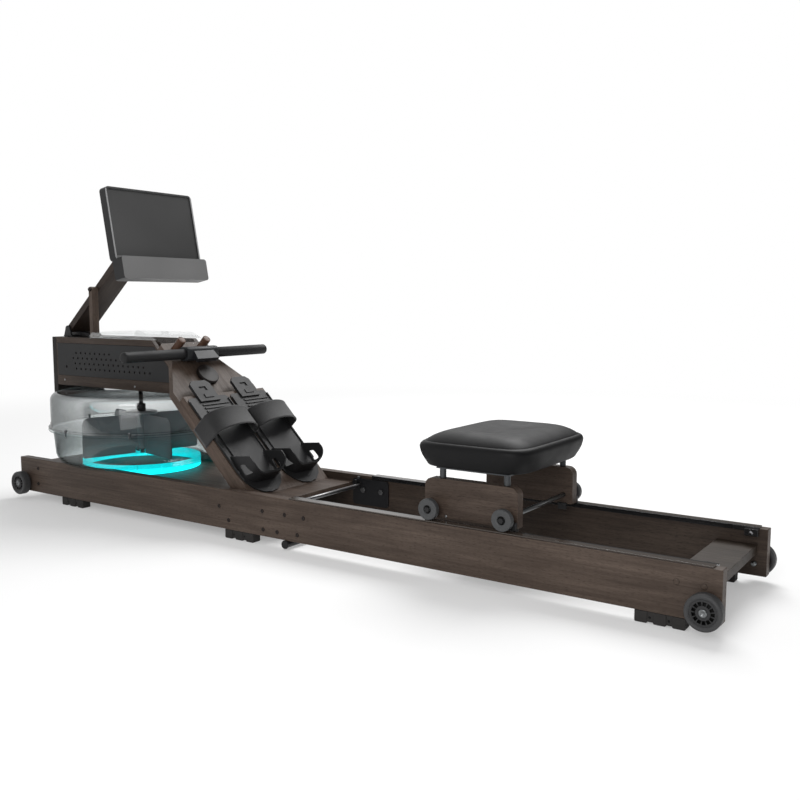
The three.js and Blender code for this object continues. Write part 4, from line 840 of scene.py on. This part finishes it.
# Footboard: a thick walnut board at 45 degrees that narrows to a neck, with its grain up the
# slope. A second board doubles it under the footplates. Two pegs hold the handle, and a plain disc
# caps a bolt.
slope_angle = math.pi / 4
slope_wood = walnut("lacquered walnut up the slope", -slope_angle, "#2d231d", "#4c4037", "#5c4e45")
peg_wood = walnut("lacquered walnut pegs", -slope_angle, "#2b1f18", "#5a4134", "#6b5142", 0.4)
disc_brown = textured("satin brown-grey disc", "#231f1d", 0.46, 0.0012, 0.00004, ior=1.25)
finish("footboard", slope_wood, plank_edge)
base_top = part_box("base_board")[1].z
riser_thickness = 0.0198
rest_gap = 0.0003
slope_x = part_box("footboard")[1].x - riser_thickness / math.sin(slope_angle) + rest_gap
slope = Matrix((
    (0, -math.cos(slope_angle), math.sin(slope_angle), slope_x),
    (1, 0, 0, 0),
    (0, math.sin(slope_angle), math.cos(slope_angle), base_top),
    (0, 0, 0, 1),
))
peg_radius = 0.0115
peg_length = 0.0407
peg_across = 0.046
peg_up = 0.4948
peg_profile = [
    (0, rest_gap), (peg_radius, rest_gap), (peg_radius, peg_length - 0.002),
    (peg_radius - 0.0006, peg_length - 0.0006), (peg_radius - 0.002, peg_length),
    (0, peg_length),
]
for side, sign in sides:
    spot = slope @ Matrix.Translation((sign * peg_across, peg_up, 0))
    peg = turned_piece(f"peg_{side}", peg_profile, 40, [spot], peg_wood, "root", "walnut")
    round_edges(peg, 0.0004)
    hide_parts(f"handle_peg_{side}")
disc_radius = 0.032
disc_up = 0.393
disc_profile = [
    (0, rest_gap), (disc_radius, rest_gap), (disc_radius, 0.0098),
    *arc(disc_radius - 0.0022, 0.0098, 0.0022, 0, 90, 4),
    (disc_radius - 0.005, 0.0115), (0, 0.0115),
]
spot = slope @ Matrix.Translation((0, disc_up, 0))
disc = turned_piece("cap_disc", disc_profile, 64, [spot], disc_brown, "root", "walnut")
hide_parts("board_disc")


# Handle: a steel bar in black foam grips with rounded ends, through a moulded grey clamp. The
# clamp's wedge-shaped spout takes the end of the strap.
grip_foam = textured("black grip foam", "#1d1d1e", 0.62, 0.0016, 0.0002)
clamp_grey = textured("satin grey clamp", "#222325", 0.46, 0.0009, 0.00005, ior=1.3)
low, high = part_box("handle_bar")
bar_half = high.y
bar_radius = (high.z - low.z) / 2
bar_centre = Vector(((low.x + high.x) / 2, 0, (low.z + high.z) / 2))
clamp_half = 0.0565
grip_round = 0.006
grip = [
    (0, clamp_half + 0.0005), (bar_radius - 0.001, clamp_half + 0.0005),
    (bar_radius, clamp_half + 0.0015), (bar_radius, bar_half - 0.007),
    *arc(bar_radius - grip_round, bar_half - grip_round, grip_round, 0, 90, 5),
    (0, bar_half),
]
forms = [turned(grip, 40, outward(bar_centre, sign)) for side, sign in sides]
core = cylinder(bar_radius - 0.003, -clamp_half, clamp_half)
forms.append(turned(core, 24, outward(bar_centre, 1)))
handle = mesh_piece("handle_grips", forms, grip_foam, "handle", "handle_rubber")
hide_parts("handle_bar")

housing_radius = 0.0195
housing_steps = 20
housing_power = 0.62
spout_corners = ((0.034, -0.002, 0.012), (0.037, -0.036, 0.004))
spout_corners += ((0.041, -0.036, 0.018), (0.036, -0.004, 0.0195))


def rounded_square(angle, power):
    """A point of a rounded square of half width 1. A lower power makes it squarer."""
    return [math.copysign(abs(v) ** power, v) for v in (math.cos(angle), math.sin(angle))]


outline = []
for i in range(housing_steps):
    point = rounded_square(2 * math.pi * i / housing_steps, housing_power)
    outline.append([housing_radius * v for v in point])
housing = plate(outline, 2 * clamp_half, Matrix.Translation(bar_centre) @ stand, 0.0016)
centre = slope.inverted() @ bar_centre
rings = []
for sign in (-1, 1):
    ring = [(sign * across, centre.y + up, centre.z + out) for across, up, out in spout_corners]
    rings.append([slope @ Vector(point) for point in ring])
forms = [housing, skin(rings)]
clamp = mesh_piece("handle_clamp_body", forms, clamp_grey, "handle", "grey_plastic")
round_edges(clamp, 0.0012, 2, 30)
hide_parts("handle_clamp")


# Webbing: a flat woven black strap, on edge at the drum and turned flat where it passes the board.
# Weave ribs run across it.
def webbing(name, colour, rib):
    """Woven nylon webbing: ribs of a real pitch along its length, softened by a fuzzy sheen."""
    material, tree = blank_material(name)
    place = node(tree, "TexCoord").outputs["Object"]
    wave = {"Vector": place, "Scale": 1 / rib / 2, "Distortion": 0.4}
    rows = node(tree, "TexWave", wave, bands_direction="DIAGONAL").outputs[1]
    fine = node(tree, "TexNoise", {"Vector": place, "Scale": 900.0, "Detail": 2.0})
    height = maths(tree, "ADD", rows, fine)
    bump = node(tree, "Bump", {"Height": height, "Strength": 0.25, "Distance": 0.0003})
    shade = mix(tree, rows, tinted(colour, 0.85), tinted(colour, 1.2))
    surface(tree, Base_Color=shade, Roughness=0.7, Sheen_Weight=0.2, Normal=bump)
    return material


strap_weave = webbing("woven black webbing", "#232324", 0.0012)
strap_width = 0.024
strap_thickness = 0.0018
strap_twist_share = 0.66 / 1.05
strap_steps = 40
strap_z = bar_centre.z
start = Vector((tank_x, -0.0292, strap_z))
end = Vector((slope_x - (strap_z - base_top) + 0.02, 0, strap_z))
rings = []
for i in range(strap_steps + 1):
    share = i / strap_steps
    centre = start.lerp(end, share)
    turn = math.pi / 2 * min(1, share / strap_twist_share)
    wide = Vector((0, math.sin(turn), math.cos(turn))) * strap_width / 2
    thick = Vector((0, math.cos(turn), -math.sin(turn))) * strap_thickness / 2
    rings.append([centre + wide + thick, centre - wide + thick])
    rings[-1] += [centre - wide - thick, centre + wide - thick]
strap = mesh_piece("handle_strap", [skin(rings)], strap_weave, None, "webbing", smooth=False)
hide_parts("pull_strap")
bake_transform(strap)
bottom, top = strap_z - strap_width / 2, strap_z + strap_width / 2
wound = [(0.0279, bottom), (0.0297, bottom), (0.0297, top), (0.0279, top)]
turned_piece("wound_strap", wound, 64, axis, strap_weave, "drum", "webbing")


# Footplates: moulded black plastic soles screwed to the board, with a raised rim, a round heel
# end, cross ribs above the strap, and a toe tab with a sunk window and a raised bar.
sole_black = textured("fine-grained sole plastic", "#242425", 0.5, 0.0009, 0.0001, ior=1.3)
for side, sign in sides:
    finish(f"footplate_{side}", sole_black, 0.001, 35)


# Heel sliders: moulded black plates that slide on the soles and end in a heel cup with an open
# window in each side wall.
for side, sign in sides:
    finish(f"heel_slider_{side}", sole_black, 0.0009, 35)


# Foot straps: wide woven webbing from the board's edge over the foot and down between the
# footplates. Its edges are thicker, and a row of raised stitches runs along each of them.
foot_weave = webbing("wide woven foot strap", "#171718", 0.0016)
stitch_thread = textured("black sewing thread", "#29292a", 0.6, 0.0005, 0.00005)
foot_ply = 0.0015
foot_low, foot_high = 0.167, 0.229
arch_base, arch_rise = 0.0396, 0.036
outer_end, inner_end = -0.0124, 0.0203
leg_steps, arch_steps = 6, 36
stitch_pitch, stitch_length, stitch_inset = 0.0045, 0.0028, 0.0035
stitch_half, stitch_rise = 0.0003, 0.0002
section = [(0.0, 0.0007), (0.0008, 0.0015), (0.0045, 0.0015), (0.0055, 0.0011)]
section = [(foot_low + in_by, ply) for in_by, ply in section]
section += [(foot_low + foot_high - up, ply) for up, ply in reversed(section)]
section += [(up, -ply) for up, ply in reversed(section)]
stitch_corners = [(-stitch_half, -stitch_half), (-stitch_half, stitch_rise)]
stitch_corners += [(stitch_half, stitch_rise), (stitch_half, -stitch_half)]


def over_foot(spot, up, middle, sign):
    """A spot on a strap's route, at a place up the slope, in the scene."""
    return slope @ Vector((middle + sign * spot.x, up, spot.y))


for side, sign in sides:
    low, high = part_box(f"foot_strap_{side}")
    middle = (low.y + high.y) / 2
    half = (high.y - low.y) / 2 - foot_ply
    leg = [outer_end + (arch_base - outer_end) * i / leg_steps for i in range(leg_steps)]
    route = [Vector((half, rise)) for rise in leg]
    for i in range(arch_steps + 1):
        turn = math.pi * i / arch_steps
        rise = arch_base + (arch_rise - foot_ply) * math.sin(turn)
        route.append(Vector((half * math.cos(turn), rise)))
    route.append(Vector((-half, inner_end)))
    rings, stitches = [], []
    run, next_stitch = 0.0, stitch_pitch
    for i, spot in enumerate(route):
        before, after = route[max(i - 1, 0)], route[min(i + 1, len(route) - 1)]
        ahead = (after - before).normalized()
        out = Vector((ahead.y, -ahead.x))
        rings.append([over_foot(spot + out * lift, up, middle, sign) for up, lift in section])
        step = (spot - before).length
        while next_stitch < run + step:
            on = before.lerp(spot, (next_stitch - run) / step) + out * foot_ply
            for up in (foot_low + stitch_inset, foot_high - stitch_inset):
                ends = []
                for along in (-stitch_length / 2, stitch_length / 2):
                    corners = [(on + ahead * along + out * b, up + a) for a, b in stitch_corners]
                    ends.append([over_foot(at, level, middle, sign) for at, level in corners])
                stitches.append(skin(ends))
            next_stitch += stitch_pitch
        run += step
    band = mesh_piece(f"foot_webbing_{side}", [skin(rings)], foot_weave, "root", "webbing")
    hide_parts(f"foot_strap_{side}")
    stitch_look = (stitch_thread, "root", "webbing")
    mesh_piece(f"foot_stitches_{side}", stitches, *stitch_look, smooth=False)


# Tablet arm, bracket and strut: a walnut arm on a black steel bracket at the frame's front,
# propped by an upright strut that turns on a bolt in the arm's edge.
arm_angle = math.radians(40.8)
arm_wood = walnut("lacquered walnut arm", arm_angle, "#1e1612", "#322822", "#40352e")
finish("tablet_arm", arm_wood, 0.0012, 50)
finish("tablet_strut", upright, 0.0012, 50)
finish("tablet_bracket", powder_coat, 0.0008, 50)
toe_outline = [(-0.985, 0.4795), (-0.893, 0.4795), (-0.893, 0.4865)]
toe_outline += [(-0.94, 0.4935), (-0.985, 0.4935)]
toe = upright_plate(toe_outline, 0.04, 0.0, 0.0008)
mesh_piece("bracket_toe", [toe], powder_coat, "root", "black_steel", smooth=False)
low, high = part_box("tablet_strut")
place = outward(((low.x + high.x) / 2, low.y, high.z - (high.x - low.x) / 2), -1)
nut = [(0, -sunk), (0.0065, -sunk), (0.0065, 0.0035), (0.005, 0.005), (0, 0.005)]
nut_look = (blackened, "strut", "black_steel")
knob = turned_piece("strut_bolt", nut, 6, [place], *nut_look, smooth=False)
round_edges(knob, 0.0006)


# Tablet holder: a moulded panel with a raised rim and a ledge whose slot takes the tablet's edge.
# The panel is darker than the ledge, which is a separate moulding of lighter grey. The ends are
# darker still, and the rim near the ends carries a painted highlight: a pale, slightly glossier
# grey.
holder_dark = textured("satin charcoal panel plastic", "#3a3a3a", 0.5, 0.0008, 0.00006)
holder_light = textured("satin grey ledge plastic", "#6c6c6c", 0.5, 0.0008, 0.00006)
holder_end = textured("satin black end plastic", "#222223", 0.5, 0.0008, 0.00006)
holder_rim_highlight = textured("pale rim plastic, painted highlight", "#8f8f90", 0.34, 0.0008, 0.00004)
holder_pivot = Vector((-0.66544, 0, 0.76302))
holder_lean = math.radians(10.7)
holder_up = Vector((-math.sin(holder_lean), 0, math.cos(holder_lean)))
holder_out = Vector((math.cos(holder_lean), 0, math.sin(holder_lean)))
ledge_out = 0.057
ledge_down = 0.071
rim_start = 0.149
holder = finish("tablet_holder", holder_dark, 0.0016, 40)
for extra in (holder_light, holder_end, holder_rim_highlight):
    holder.data.materials.append(extra)
for face in holder.data.polygons:
    arm = holder.matrix_world @ face.center - holder_pivot
    normal = holder.matrix_world.to_3x3() @ face.normal
    if abs(normal.y) > facing_share:
        face.material_index = 2
    elif arm.dot(holder_out) > ledge_out or arm.dot(holder_up) < -ledge_down:
        face.material_index = 1
    # Front faces of the rim near the ends take the pale grey: a painted highlight.
    elif abs(arm.y) > rim_start and normal.dot(holder_out) > facing_share:
        face.material_index = 3


# Seat carriage: walnut side plates with grey rollers on steel axles, and steel posts that carry
# the cushion. Each axle ends in a hexagon head.
axle_steel = textured("zinc axle steel", "#77797a", 0.32, 0.0015, 0.00004, metallic=0.9)
head_black = textured("blackened axle head", "#2b2b2c", 0.4, 0.0012, 0.00005, metallic=0.5)
post_steel = textured("dull grey post steel", "#4a4c4e", 0.42, 0.0015, 0.00004, metallic=0.7)
roller_grey = textured("grey roller plastic", "#454647", 0.42, 0.001, 0.00005)
for side, sign in sides:
    finish(f"seat_plate_{side}", lengthwise, 0.002, 40)
    finish(f"seat_bracket_{side}", post_steel, 0.0005, 50)
axle_radius = 0.005
bore_radius = 0.0054
well_radius = 0.0092
well_depth = 0.004
head_length = 0.0041
head_profile = [(0, 0), (0.0056, 0), (0.0063, 0.0006), (0.0063, 0.0034)]
head_profile += [(0.0052, head_length), (0, head_length)]
well_shade_profile = [(bore_radius, 0), (well_radius - 0.0002, 0)]
well_shade_profile += [(well_radius - 0.0002, 0.0002), (bore_radius, 0.0002)]
for end in ("front", "rear"):
    axle_name = f"seat_axle_{end}"
    axle_low, axle_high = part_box(axle_name)
    x, z = (axle_low.x + axle_high.x) / 2, (axle_low.z + axle_high.z) / 2
    places = []
    for side, sign in sides:
        name = f"seat_roller_{end}_{side}"
        low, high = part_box(name)
        radius = (high.z - low.z) / 2
        width = high.y - low.y
        inner = low.y if sign > 0 else high.y
        profile = [
            (bore_radius, 0), (radius * 0.86, 0),
            *arc(radius - 0.003, 0.003, 0.003, -90, 0, 4),
            *arc(radius - 0.0022, width - 0.0022, 0.0022, 0, 90, 4),
            (well_radius + 0.0006, width), (well_radius, width - 0.0006),
            (well_radius, width - well_depth), (bore_radius, width - well_depth),
        ]
        spot = [outward((x, inner, z), sign)]
        look = (roller_grey, name, "grey_plastic")
        roller = turned_piece(name + "_disc", profile, 56, spot, *look)
        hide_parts(name)
        # A thin near-black ring on the floor of each roller's well: painted shade in the recess.
        spot = [outward((x, inner + sign * (width - well_depth + 0.0004), z), sign)]
        look = (painted_shade_black, name, "grey_plastic")
        turned_piece(name + "_well", well_shade_profile, 28, spot, *look)
        outer = axle_high.y if sign > 0 else axle_low.y
        places.append(outward((x, outer - sign * head_length, z), sign))
    rod = cylinder(axle_radius, axle_low.y + 0.004, axle_high.y - 0.004)
    spot = [outward((x, 0, z), 1)]
    axle = turned_piece(axle_name + "_rod", rod, 24, spot, axle_steel, "seat", "steel")
    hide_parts(axle_name)
    look = (head_black, "seat", "steel")
    heads = turned_piece(axle_name + "_heads", head_profile, 6, places, *look, smooth=False)
    round_edges(heads, 0.0004, 1, 50)


# Seat guides and screws: black plastic blocks at the rear of the side plates, which keep the
# carriage between the rails, and a zinc screw at the foot of each plate. The blocks are moulded,
# with round edges.
guide_boxes = (
    ((0.602, 0.614), (0.1485, 0.157), (0.1265, 0.142)),
    ((0.582, 0.602), (0.1165, 0.1235), (0.116, 0.131)),
)
seat_screw = [(0, -sunk), (0.0032, -sunk), (0.0032, 0.001), (0.002, 0.0018), (0, 0.0019)]
for side, sign in sides:
    blocks = []
    for (x0, x1), (y0, y1), (z0, z1) in guide_boxes:
        ends = [(x0, z0), (x1, z0), (x1, z1), (x0, z1)]
        blocks.append(upright_plate(ends, y1 - y0, sign * (y0 + y1) / 2, 0.001))
    look = (moulded_black, "seat", "black_plastic")
    mesh_piece(f"seat_guides_{side}", blocks, *look, smooth=False)
    spot = [outward((0.4453, sign * 0.148, 0.132), sign)]
    turned_piece(f"seat_screw_{side}", seat_screw, 16, spot, zinc_screw, "seat", "steel")


# Cushion: moulded foam on a board, upholstered in smooth black leather. Its top is dished and
# framed by a rolled edge with a seam below it, and its sides pull in to the board.
leather_roughness = 0.52
pebble = 0.0016
seat_leather, tree = blank_material("smooth black leather")
place = node(tree, "TexCoord").outputs["Object"]
cells = node(tree, "TexVoronoi", {"Vector": place, "Scale": 1 / pebble}, feature="SMOOTH_F1")
folds = node(tree, "TexNoise", {"Vector": place, "Scale": 24.0, "Detail": 4.0})
grain = {"Height": cells.outputs["Distance"], "Strength": 0.12, "Distance": 0.0002}
bump = node(tree, "Bump", grain)
shade = mix(tree, folds, tinted("#101011", 0.85), tinted("#101011", 1.15))
gloss = ramp(tree, folds, 0.3, 0.7, leather_roughness - 0.04, leather_roughness + 0.05)
surface(tree, Base_Color=shade, Roughness=gloss, IOR=1.27, Normal=bump)

cushion_sides = 112
cushion_squareness = 6
crown_level = 0.9
seam_inset, seam_level = 0.05, 0.735
cushion_rings = (
    (0.16, 0.004), (0.13, 0.0), (0.1, 0.012), (0.08, 0.045), (0.062, 0.12), (0.012, 0.27),
    (-0.016, 0.42), (-0.03, 0.55), (-0.026, 0.61), (-0.012, 0.665), (0.014, 0.71),
    (seam_inset - 0.006, seam_level - 0.006), (seam_inset, seam_level - 0.012),
    (seam_inset + 0.006, seam_level + 0.002), (0.075, 0.768), (0.12, 0.825), (0.17, 0.875),
    (0.23, 0.925), (0.31, 0.972), (0.4, 0.997), (0.5, 0.998), (0.62, 0.972), (0.75, 0.932),
    (0.88, 0.908),
)
low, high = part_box("seat_cushion")
half_length = (high.x - low.x) / 2
half_width = (high.y - low.y) / 2
height = high.z - low.z
middle = (low.x + high.x) / 2
rings = [[Vector((middle, 0, low.z))]]
for inset, level in cushion_rings:
    ring = []
    for i in range(cushion_sides):
        x, y = rounded_square(2 * math.pi * i / cushion_sides, 2 / cushion_squareness)
        x *= half_length - inset * half_length
        y *= half_width - inset * half_length
        ring.append(Vector((middle + x, y, low.z + level * height)))
    rings.append(ring)
rings.append([Vector((middle, 0, low.z + crown_level * height))])
cushion = mesh_piece("cushion", [skin(rings)], seat_leather, "seat", "seat_leather")
smoothing = cushion.modifiers.new("smoothing", "SUBSURF")
smoothing.levels = 1
smoothing.render_levels = 1
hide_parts("seat_cushion")
